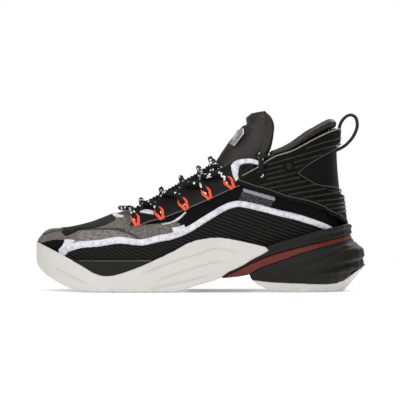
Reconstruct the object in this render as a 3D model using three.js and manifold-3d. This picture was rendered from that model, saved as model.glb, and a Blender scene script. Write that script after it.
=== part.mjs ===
// A left basketball high-top: a layered upper round a shoe last, a cord lace on fabric loops, a padded
// tongue and collar, and a sole of rubber, foam and a curved shank plate.
// Millimetres, +Z up, toe towards -X, lateral side towards -Y. Z is 0 on the ground.
import * as THREE from "three";
import { mergeVertices } from "three/addons/utils/BufferGeometryUtils.js";
import Module from "manifold-3d";

const wasm = await Module();
wasm.setup();

// ---------------------------------------------------------------- driving dimensions
const SHOE_LENGTH = 300; // toe cap to heel flare
const SHOE_WIDTH = 110; // across the forefoot sole
const SHOE_HEIGHT = 165; // ground to the top of the tongue
const TOE_SWING = 9; // how far the toe tip curves towards the big toe

const BOOTIE_WALL = 1.7; // knitted inner boot
const OVERLAY_WALL = 1.0; // fused panels on the knit
const SHELL_WALL = 2.3; // moulded ankle shell
const SHELL_HEEL_EXTRA = 3.5; // the shell's ribs stand this much prouder behind the heel
const LAYER_GAP = 0.3; // clearance between layers
const CUP_WALL = 4; // rubber cup round the forefoot
const CUP_FLOOR = 4.5;
const INNER_CUP_WALL = 3.6; // foam between the foot and the shank plate
const INNER_CUP_FLOOR = 4;
const STROBEL_WALL = 1.4;
const SOCKLINER_WALL = 4;
const COUNTER_WALL = 1.3;
const LINING_WALL = 1.0;
const PADDING_DEPTH = 6;
const LACE_RADIUS = 2;
const LOOP_RADIUS = 1.1;
const LOOP_HALF_WIDTH = 3.5;
const LACE_END_LENGTH = 74;
const AGLET_LENGTH = 20;
const TONGUE_WALL = 5;
const TONGUE_FLAP_WALL = 7;
const TONGUE_GAP = 4; // slot at the tongue's flex line
const PULL_STRAP_WIDTH = 9;
const PULL_STRAP_WALL = 1.3;
const PIPING_HALF_WIDTH = 3.6;
const PIPING_WALL = 1.5;
const RIVET_RADIUS = 3.0;

// Heights of the layers above the last's surface.
const HEEL_EASE = 0.4; // extra clearance where the back of the heel curves inwards
const OVERLAY_IN = BOOTIE_WALL + LAYER_GAP;
const OVERLAY_OUT = OVERLAY_IN + OVERLAY_WALL;
const SHELL_IN = OVERLAY_OUT + LAYER_GAP;
const SHELL_OUT = SHELL_IN + SHELL_WALL;
const SOLE_IN = OVERLAY_OUT + 0.7; // the sole's inner face, clear of the faceted panels

// The pattern below is drawn for a 300 x 110 x 165 mm shoe and graded to the sizes above.
const GRADE_X = SHOE_LENGTH / 300;
const GRADE_Y = SHOE_WIDTH / 110;
const GRADE_Z = SHOE_HEIGHT / 165;
const flat = (x, z) => new THREE.Vector2(x * GRADE_X, z * GRADE_Z);
const space = (x, y, z) => new THREE.Vector3(x * GRADE_X, y * GRADE_Y, z * GRADE_Z);

// ---------------------------------------------------------------- solids
function solid(geometry) {
  const bare = new THREE.BufferGeometry();
  bare.setAttribute("position", geometry.getAttribute("position").clone());
  if (geometry.index) bare.setIndex(geometry.index);
  const merged = mergeVertices(bare, 2e-3);
  const index = merged.index.array;
  const kept = [];
  for (let i = 0; i < index.length; i += 3) {
    const [a, b, c] = [index[i], index[i + 1], index[i + 2]];
    if (a !== b && b !== c && c !== a) kept.push(a, b, c);
  }
  return new wasm.Manifold(
    new wasm.Mesh({
      numProp: 3,
      vertProperties: new Float32Array(merged.attributes.position.array),
      triVerts: new Uint32Array(kept),
    }),
  );
}

const volumeOrder = (a, b) => b.volume() - a.volume();
const mainBody = (made) => made.decompose().sort(volumeOrder)[0];

// Rings of equal length, skinned into one closed surface. Open lofts get a cap on each end ring.
// A flat face that two mirrored halves would share on the centre plane is left out.
function skin(rings, { closed = false } = {}) {
  const n = rings[0].length;
  const positions = rings.flat().flatMap((p) => [p.x, p.y, p.z]);
  const index = [];
  const onPlane = (k) => Math.abs(positions[3 * k + 1]) < 1e-4;
  const quad = (a, b, c, d) => {
    if (closed && [a, b, c, d].every(onPlane)) return;
    index.push(a, b, c, a, c, d);
  };
  const spans = closed ? rings.length : rings.length - 1;
  for (let i = 0; i < spans; i++) {
    const here = i * n;
    const next = ((i + 1) % rings.length) * n;
    for (let j = 0; j < n; j++) {
      const k = (j + 1) % n;
      quad(here + j, next + j, next + k, here + k);
    }
  }
  if (!closed) {
    const last = (rings.length - 1) * n;
    for (let j = 0; j < n / 2 - 1; j++) {
      const opposite = n - 1 - j;
      quad(j, j + 1, opposite - 1, opposite);
      quad(last + j + 1, last + j, last + opposite, last + opposite - 1);
    }
  }
  const made = new THREE.BufferGeometry();
  made.setAttribute("position", new THREE.Float32BufferAttribute(positions, 3));
  made.setIndex(index);
  const body = solid(made);
  return body.volume() < 0 ? solid(turned(made)) : body;
}

function turned(geometry) {
  const index = geometry.index.array;
  for (let i = 0; i < index.length; i += 3) {
    [index[i + 1], index[i + 2]] = [index[i + 2], index[i + 1]];
  }
  return geometry;
}

// A side-view outline as a solid right through the shoe.
const PRISM_DEPTH = 2 * SHOE_WIDTH;
function prism(outline) {
  const made = new THREE.ExtrudeGeometry(new THREE.Shape(outline), {
    depth: PRISM_DEPTH,
    bevelEnabled: false,
    steps: 1,
  });
  made.rotateX(Math.PI / 2);
  made.translate(0, PRISM_DEPTH / 2, 0);
  return solid(made);
}

function curved(points, steps) {
  return new THREE.SplineCurve(points.map(([x, z]) => flat(x, z))).getPoints(steps);
}
function grounded(points, steps) {
  return curved(points, steps).map((p) => new THREE.Vector2(p.x, Math.max(0, p.y)));
}
const straight = (points) => points.map(([x, z]) => flat(x, z));

// A round or flat tube through a list of points.
function tube(points, radius, sides = 8, steps = points.length * 3) {
  const curve = new THREE.CatmullRomCurve3(points, false, "centripetal");
  const corners = Array.from({ length: sides }, (_, k) => (2 * Math.PI * k) / sides);
  const section = corners.map((a) => new THREE.Vector2(radius * Math.cos(a), radius * Math.sin(a)));
  const swept = { extrudePath: curve, steps, bevelEnabled: false };
  return solid(new THREE.ExtrudeGeometry(new THREE.Shape(section), swept));
}

// ---------------------------------------------------------------- the last
// Each station is a rib from the foot bed to the throat or collar: foot, lower and upper handles, top,
// each as x, half-width, z. Station 0 is the heel's centre, the last one the toe's.
const STATIONS = [
  [[127.5, 0, 30], [131, 0, 62], [117, 0, 104], [121.5, 0, 148]],
  [[121, 18.5, 30], [124, 22, 60], [112, 17, 103], [116, 18, 146.5]],
  [[102, 29, 29], [104, 35, 56], [97, 27, 96], [98, 28.5, 137]],
  [[76, 31.5, 28], [77, 39, 52], [76, 33, 88], [77, 33, 125.5]],
  [[52, 32, 26.5], [52, 41, 50], [52, 38, 88], [55, 31, 121.5]],
  [[30, 33, 25], [30, 43, 48], [30, 40, 84], [32, 24.5, 117]],
  [[5, 36, 22.5], [5, 46, 44], [5, 41, 76], [7, 20.5, 103.5]],
  [[-22, 40, 19], [-22, 50, 38], [-22, 43, 64], [-19, 17.5, 91.5]],
  [[-50, 44, 16.5], [-50, 54, 33], [-50, 43, 54], [-53, 14, 74.5]],
  [[-78, 45, 16], [-78, 53.5, 34], [-77, 27, 70], [-72, 0, 70.5]],
  [[-104, 41, 18.5], [-106, 48, 38], [-103, 25, 60.5], [-98, 0, 61]],
  [[-127, 30, 22], [-129.5, 34, 42], [-123, 16, 55.8], [-117, 0, 56.2]],
  [[-137, 16, 25.5], [-143, 18.5, 43], [-137.5, 9.5, 56.3], [-127, 0, 55]],
  [[-141.5, 0, 27], [-148, 0, 44], [-144.5, 0, 57], [-129.5, 0, 54.8]],
];
const TOE = STATIONS.length - 1;
const ROUND = 2 * TOE; // stations in the whole loop: lateral side out, medial side back
const THROAT_FRONT = 9;

const railCurves = [0, 1, 2, 3].map((row) => {
  const lateral = STATIONS.map((rib) => space(rib[row][0], -rib[row][1], rib[row][2]));
  const medial = lateral.slice(1, TOE).reverse().map((p) => new THREE.Vector3(p.x, -p.y, p.z));
  return new THREE.CatmullRomCurve3([...lateral, ...medial], true, "catmullrom", 0.5);
});
const wrap = (u) => ((u % ROUND) + ROUND) % ROUND;
const sideOf = (u) => (wrap(u) <= TOE ? -1 : 1);

function lastPoint(u, t) {
  const rails = railCurves.map((rail) => rail.getPoint(wrap(u) / ROUND));
  if (Math.abs(wrap(u) - TOE) <= TOE - THROAT_FRONT) rails[3].y = 0;
  if (rails[3].y * sideOf(u) < 0) rails[3].y = 0;
  return new THREE.CubicBezierCurve3(...rails).getPoint(t);
}

const STEP = 0.004;
function outward(u, t) {
  const along = lastPoint(u + STEP, t).sub(lastPoint(u - STEP, t));
  const up = lastPoint(u, Math.min(1, t + STEP)).sub(lastPoint(u, Math.max(0, t - STEP)));
  const n = up.cross(along);
  if (Math.abs(lastPoint(u, t).y) < 1e-4) n.y = 0;
  return n.normalize();
}
const surface = (u, t, d) => lastPoint(u, t).addScaledVector(outward(u, t), d);

// The station and rib position of a point seen from the side.
function bisect(low, high, below) {
  for (let i = 0; i < 30; i++) {
    const middle = (low + high) / 2;
    if (below(middle)) low = middle;
    else high = middle;
  }
  return (low + high) / 2;
}
const ribAt = (u, z) => bisect(0, 1, (t) => lastPoint(u, t).z < z);
function mark(x, z) {
  const at = flat(x, z);
  const u = bisect(0, TOE, (v) => lastPoint(v, ribAt(v, at.y)).x > at.x);
  return new THREE.Vector2(u, ribAt(u, at.y));
}
const backMark = (z) => new THREE.Vector2(0, ribAt(0, z * GRADE_Z));
const seam = (points) => new THREE.SplineCurve(points.map((p) => (p.isVector2 ? p : mark(...p))));
// A seam that goes on round the heel to the same place on the other side.
const wrapSeam = (points) => {
  const marks = points.map((p) => (p.isVector2 ? p : mark(...p)));
  const others = marks.slice(0, -1).reverse().map((p) => new THREE.Vector2(-p.x, p.y));
  return new THREE.SplineCurve([...marks, ...others]);
};
const MEDIAL = (v) => new THREE.Vector2(ROUND - v.x, v.y);
const LATERAL = (v) => v;

// A panel that lies on the last between two seams, from height d0 to d1 (numbers, or functions of u and t).
function panel(lower, upper, d0, d1, { across = 4, along = 20, side = LATERAL } = {}) {
  const height = (d, u, t) => (typeof d === "function" ? d(u, t) : d);
  const rings = [];
  for (let i = 0; i <= along; i++) {
    const [a, b] = [lower.getPoint(i / along), upper.getPoint(i / along)];
    const marks = [];
    for (let j = 0; j <= across; j++) marks.push(side(a.clone().lerp(b, j / across)));
    const outer = marks.map((m) => surface(m.x, m.y, height(d1, m.x, m.y)));
    const inner = marks.map((m) => surface(m.x, m.y, height(d0, m.x, m.y)));
    rings.push([...outer, ...inner.reverse()]);
  }
  return skin(rings);
}

// ---------------------------------------------------------------- lofts round the foot
// Sections are closer together round the tight curves of the heel and the toe.
const sideMarks = [];
for (let u = 0; u < TOE - 1e-6; u += u < 2.99 || u > 7.99 ? 1 / 3 : 1 / 2) sideMarks.push(u);
const ringMarks = [...sideMarks, TOE, ...sideMarks.slice(1).reverse().map((u) => ROUND - u)];

function footNormal(u) {
  const along = lastPoint(u + STEP, 0).sub(lastPoint(u - STEP, 0));
  return new THREE.Vector3(along.y, -along.x, 0).normalize().negate();
}
const SPINE_TOE = -118 * GRADE_X;
const SPINE_HEEL = 100 * GRADE_X;
const spineX = (u) => THREE.MathUtils.clamp(lastPoint(u, 0).x, SPINE_TOE, SPINE_HEEL);

// Levels run from the spine at the bottom, out, up and back to the spine at the top.
function footLoft(levels) {
  return skin(
    ringMarks.map((u) => levels.map((level) => level(u))),
    { closed: true },
  );
}
const onSpine = (z) => (u) => {
  const x = spineX(u);
  return new THREE.Vector3(x, 0, z(x));
};

const stepwise = (table) => (v) => {
  const k = Math.max(1, table.findIndex(([at]) => at >= v));
  const [[v0, f0], [v1, f1]] = v > table.at(-1)[0] ? table.slice(-2) : [table[k - 1], table[k]];
  return THREE.MathUtils.lerp(f0, f1, THREE.MathUtils.clamp((v - v0) / (v1 - v0), 0, 1));
};
const graded = (table) => table.map(([a, b]) => [a * GRADE_X, b * GRADE_Z]);

// Height of the ground side of the sole, and of the foot bed, along the shoe.
const GROUND = [
  [-150, 34], [-149, 26], [-145, 18.9], [-133, 10.7], [-119.5, 4.3], [-105.8, 1.1], [-92, 0], [160, 0],
];
const groundLine = stepwise(graded(GROUND));
const footBed = stepwise(graded(STATIONS.map((rib) => [rib[0][0], rib[0][2]]).reverse()));

// How far the sole stands out from the foot-bed outline: at the sides and behind the heel, by height.
const foreFlare = stepwise([[0, 6.5], [3, 9.5], [60, 9.5]]);
const heelFlare = stepwise([[0, 7], [4, 11], [12, 14], [26, 15], [40, 13.5], [50, 12], [62, 11.5]]);
const backFlare = stepwise([
  [0, 2], [8, 11], [18, 18], [25, 21.5], [33, 19.5], [38, 19.5], [44, 13.5], [48, 11], [55, 10.5], [62, 8.5],
]);
const toeFlare = 9;
const HEEL_BLEND = [-20, 45];

function flare(u, z) {
  const foot = lastPoint(u, 0);
  const n = footNormal(u);
  const h = z / GRADE_Z;
  const toHeel = THREE.MathUtils.smoothstep(foot.x, HEEL_BLEND[0] * GRADE_X, HEEL_BLEND[1] * GRADE_X);
  const side = THREE.MathUtils.lerp(foreFlare(h), heelFlare(h), toHeel);
  if (n.x > 0) return THREE.MathUtils.lerp(side, backFlare(h), n.x ** 2 * toHeel);
  return THREE.MathUtils.lerp(side, toeFlare, n.x ** 4);
}
const wall = (z, inset = 0) => (u) => {
  const foot = lastPoint(u, 0);
  const out = footNormal(u).multiplyScalar(flare(u, z * GRADE_Z) - inset);
  return new THREE.Vector3(foot.x + out.x, foot.y + out.y, z * GRADE_Z);
};

// The whole block that the sole's pieces are cut from, and the foot-shaped hollow that they leave.
function soleBlock(inset, low, wallLevels) {
  return footLoft([
    onSpine(() => low * GRADE_Z),
    ...wallLevels.map((z) => wall(z, inset)),
    onSpine(() => wallLevels.at(-1) * GRADE_Z),
  ]);
}
const WALL_LEVELS = [-1, 3, 12, 22, 28, 33, 38, 44, 50, 64];

function footHollow(offset, drop, top) {
  const rib = (share) => (u) => {
    const reach = ribAt(u, Math.min(top * GRADE_Z, lastPoint(u, 1).z - 2));
    return surface(u, share * reach, offset);
  };
  const dropped = (u) => {
    const p = surface(u, 0, offset);
    return new THREE.Vector3(p.x, p.y, lastPoint(u, 0).z - drop);
  };
  const lid = (u) => {
    const x = spineX(u);
    return new THREE.Vector3(x, 0, rib(1)(u).z);
  };
  const ribs = [0.12, 0.26, 0.42, 0.62, 1].map(rib);
  return footLoft([onSpine((x) => footBed(x) - drop), dropped, ...ribs, lid]);
}

// ---------------------------------------------------------------- sole
const CUP_TOP = [
  [-165, 49], [-149.2, 44.4], [-134, 38], [-118.6, 30.3], [-107.6, 24.4], [-96.7, 18], [-87.5, 15.2],
  [-78.4, 15.7], [-64.8, 19.8], [-46.5, 27.1], [-23.7, 38], [-10, 45.3], [3.6, 48.6], [20, 49.2], [46.2, 43.9], [58, 41],
];
const WING_TIP = [61, 38];
const WING_UNDER = [
  [57.7, 35.5], [46.2, 29.8], [35.6, 23.4], [24.2, 18.2], [14.6, 11.6], [-0.9, 7.2], [-10, 4.4], [-18, 1.5],
];
const TOE_ROCKER = [
  [-92, 0], [-105.8, 1.1], [-119.5, 4.3], [-133, 10.7], [-145, 18.9], [-149.6, 26], [-150.8, 37],
];
const PLATE_TOP = [
  [19, 13.6], [30.5, 18.8], [46.2, 26.8], [61.9, 33], [88.1, 40.4], [114.3, 46.4], [138, 52.2], [160, 57],
];
const PLATE_UNDER = [
  [19, 12.8], [41, 15.6], [53.5, 21.9], [72.4, 28.7], [93.3, 36], [114.3, 42], [138, 47.6], [160, 52],
];
const CARRIER_TOP = [
  [58, 41.5], [61.9, 42.6], [82.8, 48.6], [103.8, 54.9], [124.8, 59.4], [132, 61.2], [137, 60.6], [160, 61],
];
const LENS_TOP = [
  [-165, 48], [-149.2, 43.6], [-134, 37.2], [-122, 31.4], [-113, 29], [-80, 29], [-46, 29.4], [-32, 33],
  [-20, 38.2], [-10, 43], [3.6, 46.4], [20, 47], [44, 42.5], [58, 41.2],
];
const POD_BOTTOM = [
  [45.1, 11.9], [61.9, 9.8], [82.8, 8.8], [103.8, 7.9], [122.7, 7.9], [135.3, 11.9], [145.7, 18.2], [160, 28],
];
const HEEL_GROUND = [
  [45.5, 11.3], [51.4, 6.7], [61.9, 2.5], [72.4, 0.6], [82, 0], [124.8, 0], [133.1, 3.6], [143.6, 11.4],
  [149.4, 17], [160, 25],
];
const shifted = (points, dz) => points.map(([x, z]) => [x, z + dz / GRADE_Z]);

const cupOutline = [
  ...curved(CUP_TOP, 40),
  ...straight([WING_TIP]),
  ...curved(WING_UNDER, 12),
  ...straight([[-27, 0]]),
  ...grounded(TOE_ROCKER, 16),
  ...straight([[-165, 37]]),
];
const HOLLOW_TOP = 68;
const hollow = footHollow(SOLE_IN, BOOTIE_WALL + LAYER_GAP, HOLLOW_TOP);
const innerCup = footHollow(SOLE_IN + INNER_CUP_WALL, BOOTIE_WALL + LAYER_GAP + INNER_CUP_FLOOR, HOLLOW_TOP);
const innerCupClear = footHollow(
  SOLE_IN + INNER_CUP_WALL + LAYER_GAP,
  BOOTIE_WALL + 2 * LAYER_GAP + INNER_CUP_FLOOR,
  HOLLOW_TOP,
);
const outerBlock = soleBlock(0, -1, WALL_LEVELS);

function cupCore(inset, extraFloor) {
  const floor = (x) => groundLine(x) + CUP_FLOOR + extraFloor;
  const low = (u) => {
    const p = wall(12, inset)(u);
    return new THREE.Vector3(p.x, p.y, floor(p.x));
  };
  const levels = [22, 33, 40, 48, 64];
  const raised = levels.map((z) => (u) => {
    const p = wall(z, inset)(u);
    p.z = Math.max(p.z, floor(p.x) + z / 40);
    return p;
  });
  return footLoft([onSpine(floor), low, ...raised, onSpine(() => 66 * GRADE_Z)]);
}
const forefootCup = outerBlock.intersect(prism(cupOutline)).subtract(cupCore(CUP_WALL, 0)).subtract(hollow);

const midsoleOutline = [
  ...curved(LENS_TOP, 24),
  ...curved(CARRIER_TOP, 20).slice(1),
  ...curved(shifted(PLATE_TOP, LAYER_GAP), 20).reverse(),
  ...straight([[14.6, 12], [-0.9, 7.6], [-10, 4.8], [-20, 0], [-160, 0]]),
];
const cupClear = prism([
  ...curved(shifted(CUP_TOP, LAYER_GAP), 40),
  ...straight([[61.4, 38]]),
  ...curved(shifted(WING_UNDER, -LAYER_GAP), 12),
  ...straight([[-27, -5], [-165, -5]]),
]);
const cupFoam = cupCore(CUP_WALL + LAYER_GAP, 2 * LAYER_GAP);
const heelBedding = [
  [14, 12], [46, 16], [160, 16], [160, 60], [132, 60.5], [103.8, 54.5], [62, 42], [14, 40],
];
const midsole = outerBlock
  .intersect(prism(midsoleOutline))
  .add(innerCup.intersect(prism(straight(heelBedding))))
  .subtract(cupClear)
  .add(cupFoam.intersect(prism(midsoleOutline)))
  .subtract(hollow);

const plateOutline = [...curved(PLATE_TOP, 20), ...curved(PLATE_UNDER, 20).reverse()];
const PLATE_INSET = 1.6;
const shankPlate = soleBlock(PLATE_INSET, -1, WALL_LEVELS)
  .intersect(prism(plateOutline))
  .subtract(innerCupClear);

const podOutline = [
  ...curved(shifted(PLATE_UNDER, -LAYER_GAP), 30).filter((p) => p.x > 42 * GRADE_X),
  ...curved(POD_BOTTOM, 16).reverse(),
];
const heelPod = outerBlock.intersect(prism(podOutline)).subtract(innerCupClear);
const heelRubber = outerBlock.intersect(
  prism([...curved(shifted(POD_BOTTOM, -LAYER_GAP), 16), ...grounded(HEEL_GROUND, 20).reverse()]),
);

// ---------------------------------------------------------------- inside the shoe
function boardAt(inset, low, high) {
  const rim = (z) => (u) => {
    const p = lastPoint(u, 0).addScaledVector(footNormal(u), -inset);
    return new THREE.Vector3(p.x, p.y, lastPoint(u, 0).z + z);
  };
  return footLoft([onSpine((x) => footBed(x) + low), rim(low), rim(high), onSpine((x) => footBed(x) + high)]);
}
const strobel = boardAt(LAYER_GAP + 0.2, -STROBEL_WALL, 0);
const sockliner = boardAt(1.2, LAYER_GAP, LAYER_GAP + SOCKLINER_WALL);

const COLLAR_END = 3.7; // the padded collar stops at this station on each side
const COUNTER_TOP = 0.45;
const padding = (t) =>
  PADDING_DEPTH * Math.sin((Math.PI * THREE.MathUtils.clamp(t - COUNTER_TOP, 0, 1)) / (1 - COUNTER_TOP));
const level = (t, end = COLLAR_END) =>
  new THREE.SplineCurve([new THREE.Vector2(end, t), new THREE.Vector2(0, t), new THREE.Vector2(-end, t)]);
const COUNTER_OUT = -2 * LAYER_GAP;
const heelCounter = panel(
  level(0.06, 3.2), level(COUNTER_TOP - 0.02, 2.6), COUNTER_OUT - COUNTER_WALL, COUNTER_OUT,
  { along: 22, across: 3 },
);
const liningFace = (u, t) => COUNTER_OUT - 2 * LAYER_GAP - COUNTER_WALL - padding(t);
const paddingFace = (u, t) => Math.min(liningFace(u, t) + 3 * LAYER_GAP, COUNTER_OUT - 0.6);
const anklePadding = panel(
  level(COUNTER_TOP + 0.03), level(0.93), paddingFace, COUNTER_OUT, { along: 22, across: 4 },
);
const lining = panel(
  level(0.07), level(0.95), (u, t) => liningFace(u, t) - LINING_WALL, liningFace, { along: 22, across: 7 },
);

// The padded roll on the collar's edge: an oval swept along the top line, higher behind the ankle.
const ROLL_SIDES = 8;
const rollHeight = stepwise([[0, 4.6], [1, 5.2], [2, 5.4], [3, 4.2], [3.7, 2.6]]);
const rollThickness = stepwise([[0, 4.6], [1, 4.6], [2, 4.4], [3, 3.8], [3.7, 2.6]]);
function collarRoll() {
  const steps = 26;
  const rings = [];
  for (let i = 0; i <= steps; i++) {
    const u = COLLAR_END * (1 - (2 * i) / steps);
    const tall = rollHeight(Math.abs(u)) * GRADE_Z;
    const thick = rollThickness(Math.abs(u));
    const out = outward(u, 1);
    out.z = 0;
    out.normalize();
    const centre = lastPoint(u, 1).addScaledVector(out, BOOTIE_WALL + 0.6 - thick);
    centre.z += tall * 0.92 + LAYER_GAP;
    const ring = [];
    for (let k = 0; k < ROLL_SIDES; k++) {
      const angle = (2 * Math.PI * (k + 0.5)) / ROLL_SIDES;
      const point = centre.clone().addScaledVector(out, thick * Math.cos(angle));
      point.z += tall * Math.sin(angle);
      ring.push(point);
    }
    rings.push(ring);
  }
  return skin(rings);
}

// ---------------------------------------------------------------- upper
function bootie() {
  const across = 7;
  const rings = ringMarks.map((u) => {
    const ts = Array.from({ length: across + 1 }, (_, j) => j / across);
    const outer = ts.map((t) => surface(u, t, BOOTIE_WALL));
    const inner = ts.map((t) => surface(u, t, 0)).reverse();
    return [...outer, ...inner];
  });
  return skin(rings, { closed: true });
}

// The white cord-like piping that sweeps from the toe over the arch to the heel.
const PIPING_LINE = [
  [-121, 37.5], [-103, 41.9], [-75.7, 43.8], [-46.5, 45], [-27, 49.6], [-8.2, 58.5], [12, 71.2], [27.4, 78.3],
  [38, 79.2], [60, 74], [90, 65.5], [103, 60.8],
];
const PANEL_FOOT = [
  [-122, 26], [-100, 23], [-46, 24], [-20, 30], [0, 37], [30, 40], [60, 41], [90, 47], [106, 51],
];
const sidePanel = (side) =>
  panel(seam(PANEL_FOOT), seam(PIPING_LINE), OVERLAY_IN + 0.15, OVERLAY_OUT, { side, along: 26, across: 4 });
function piping(side) {
  const centre = new THREE.SplineCurve(PIPING_LINE.map(([x, z]) => flat(x, z)));
  const edge = (shift) =>
    seam(
      Array.from({ length: 16 }, (_, i) => {
        const p = centre.getPoint(i / 15);
        const along = centre.getTangent(i / 15);
        return [(p.x - along.y * shift) / GRADE_X, (p.y + along.x * shift) / GRADE_Z];
      }),
    );
  return panel(
    edge(-PIPING_HALF_WIDTH), edge(PIPING_HALF_WIDTH), SHELL_IN, SHELL_IN + PIPING_WALL,
    { side, along: 30, across: 2 },
  );
}

const EYESTAY_FOOT = [
  [-64.5, 57.2], [-58, 58.2], [-46.5, 62], [-33.7, 65.6], [-21, 70.6], [-8.2, 76], [10.9, 84.5], [25.5, 91.5],
  [36, 96], [48, 101],
];
const NEAR_EDGE = 0.985; // how far up a rib the eyestay's upper edge is
const EYESTAY_TOP = [8.3, 7.9, 7.4, 6.9, 6.4, 5.8, 5.3, 4.95, 4.6, 4.3].map(
  (u) => new THREE.Vector2(u, NEAR_EDGE),
);
const eyestay = (side) =>
  panel(seam(EYESTAY_FOOT), seam(EYESTAY_TOP), OVERLAY_IN + 0.3, OVERLAY_OUT, { side, along: 18, across: 4 });

const FILM_FOOT = [[-119.5, 54], [-110, 55], [-98, 56], [-87, 59], [-77, 63]];
const FILM_TOP = [12, 11.2, 10.5, 9.8, 9.2].map((u) => new THREE.Vector2(u, 0.96));
const vampFilm = (side) =>
  panel(seam(FILM_FOOT), seam(FILM_TOP), OVERLAY_IN, OVERLAY_OUT, { side, along: 10, across: 4 });
const toeStrap = (side) =>
  panel(
    seam([[-134.5, 42.8], [-129, 48.5], [-121, 53.4]]), seam([[-127.3, 39.4], [-121.5, 45], [-113, 52.6]]),
    OVERLAY_IN, OVERLAY_OUT, { side, along: 5, across: 3 },
  );
const GUARD_MARKS = [
  [10.9, 0.08], [11.6, 0.1], [12.3, 0.12], [13, 0.14], [13.7, 0.12], [14.4, 0.1], [15.1, 0.08],
];
const guardSeam = (rise) =>
  new THREE.SplineCurve(GUARD_MARKS.map(([u, t]) => new THREE.Vector2(u, t + rise)));
const toeGuard = panel(guardSeam(0.04), guardSeam(0.22), OVERLAY_IN, OVERLAY_OUT, { along: 20, across: 2 });

// The moulded ankle shell: one piece round the heel, with a smooth wedge let into it behind the ankle.
const SHELL_TOP = [[31.9, 97.3], [36.5, 102], [46, 107.5], [55.6, 112.5], [63, 115.8], [90, 130], [110, 141]];
const SHELL_FOOT = [[33.6, 94.4], [38.2, 91.9], [49.8, 88.2], [61.5, 84.5], [73, 81], [90, 74], [106, 67.5]];
const WEDGE = [
  [86.4, 107.2], [94, 114], [104, 120.5], [113.3, 126.5], [124, 133.5], [133, 139], [145, 144], [145, 86],
  [122.8, 90.5], [106.9, 95.7], [95, 101.5],
];
const heelShare = (u) => 1 - THREE.MathUtils.smoothstep(Math.abs(u > TOE ? ROUND - u : u), 0, 2.2);
const shellOuter = (u) => SHELL_OUT + SHELL_HEEL_EXTRA * heelShare(u);
const ankleShell = () => {
  const made = panel(
    wrapSeam([...SHELL_FOOT, backMark(66)]), wrapSeam([...SHELL_TOP, backMark(146)]),
    SHELL_IN + HEEL_EASE + 0.25, shellOuter, { along: 44, across: 5 },
  );
  return made.subtract(prism(straight(WEDGE)));
};
const heelPanel = panel(
  wrapSeam([[82, 104], [92, 96], [106, 90], backMark(84)]),
  wrapSeam([[82, 108.5], [92, 118], [106, 128], backMark(138)]),
  OVERLAY_IN + HEEL_EASE, OVERLAY_OUT, { along: 24, across: 4 },
);
const EYELET = [40.1, 110.5];
const SHELL_HOLE = [54.5, 103.5];
const PATCH_FOOT = [[32.5, 100.5], [37, 104.8], [46, 110], [53, 113.6]];
const PATCH_TOP = [[32, 111], [37, 114.2], [46, 117], [53.5, 117.6]];
const eyeletPatch = (side) =>
  panel(seam(PATCH_FOOT), seam(PATCH_TOP), SHELL_IN, SHELL_IN + 1.1, { side, along: 6, across: 2 });

// A ring, stud or disc that stands on the surface at a mark, turned to face outwards.
function standing(geometry, place, d, side) {
  const m = side(mark(...place));
  const made = geometry.clone();
  const turn = new THREE.Quaternion().setFromUnitVectors(new THREE.Vector3(0, 1, 0), outward(m.x, m.y));
  made.applyQuaternion(turn);
  const at = surface(m.x, m.y, d);
  made.translate(at.x, at.y, at.z);
  return solid(made);
}
const RIVET_PROFILE = [[0, 0], [RIVET_RADIUS, 0], [RIVET_RADIUS, 0.8], [RIVET_RADIUS - 0.9, 1.5], [0, 1.7]];
const RIVET_PLACE = [78.4, 113.5];
const RIVET_SEAT = LAYER_GAP + 0.4; // its flat back clears the curved shell
const studGeometry = new THREE.LatheGeometry(RIVET_PROFILE.map(([r, y]) => new THREE.Vector2(r, y)), 14);

// ---------------------------------------------------------------- tongue
// Section k of the tongue: ridge x, ridge z, half-width, how far the edges drop, and how far they trail back.
const TONGUE = [
  [-67, 69.5, 7, 6, 0], [-53, 77.5, 13, 14, 0], [-33.7, 88, 18, 22, 1], [-15.5, 98.3, 20.5, 26, 3],
  [0.9, 107.5, 21.5, 26, 8], [12, 116.5, 22, 21, 18], [20, 127.5, 22.5, 13, 29], [32, 142, 22.5, 9, 33],
  [42, 154, 22, 10, 26], [50.5, 162.5, 18, 11, 16],
];
const tongueRails = [0, 1].map((half) =>
  new THREE.CatmullRomCurve3(
    TONGUE.map(([x, z, ...shape]) => (half ? new THREE.Vector3(...shape) : new THREE.Vector3(x, 0, z))),
    false, "catmullrom", 0.5,
  ),
);
function tonguePoint(v, w) {
  const ridge = tongueRails[0].getPoint(v);
  const shape = tongueRails[1].getPoint(v);
  const bow = Math.abs(w);
  return space(
    ridge.x + shape.z * bow ** 2.4,
    shape.x * Math.sin((w * Math.PI) / 2.25) / Math.sin(Math.PI / 2.25),
    ridge.z - shape.y * bow ** 1.8,
  );
}
function tongueNormal(v, w) {
  const along = tonguePoint(Math.min(1, v + STEP), w).sub(tonguePoint(Math.max(0, v - STEP), w));
  const across = tonguePoint(v, Math.min(1, w + STEP)).sub(tonguePoint(v, Math.max(-1, w - STEP)));
  return along.cross(across).normalize();
}
const FLEX = 0.625; // where the tongue bends, as a share of its sections
function tonguePiece(v0, v1, thickness, steps) {
  const across = 8;
  const rings = [];
  for (let i = 0; i <= steps; i++) {
    const v = THREE.MathUtils.lerp(v0, v1, i / steps);
    const ws = Array.from({ length: across + 1 }, (_, j) => -1 + (2 * j) / across);
    const outer = ws.map((w) => tonguePoint(v, w));
    const inner = ws.map((w) => {
      const thin = thickness * (1 - 0.55 * Math.abs(w) ** 4);
      return tonguePoint(v, w).addScaledVector(tongueNormal(v, w), -thin);
    });
    rings.push([...outer, ...inner.reverse()]);
  }
  return skin(rings);
}
const flexStep = TONGUE_GAP / 2 / tonguePoint(FLEX, 0).distanceTo(tonguePoint(FLEX + 0.01, 0)) / 100;
const tongueBase = tonguePiece(0, FLEX - flexStep, TONGUE_WALL, 12);
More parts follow.
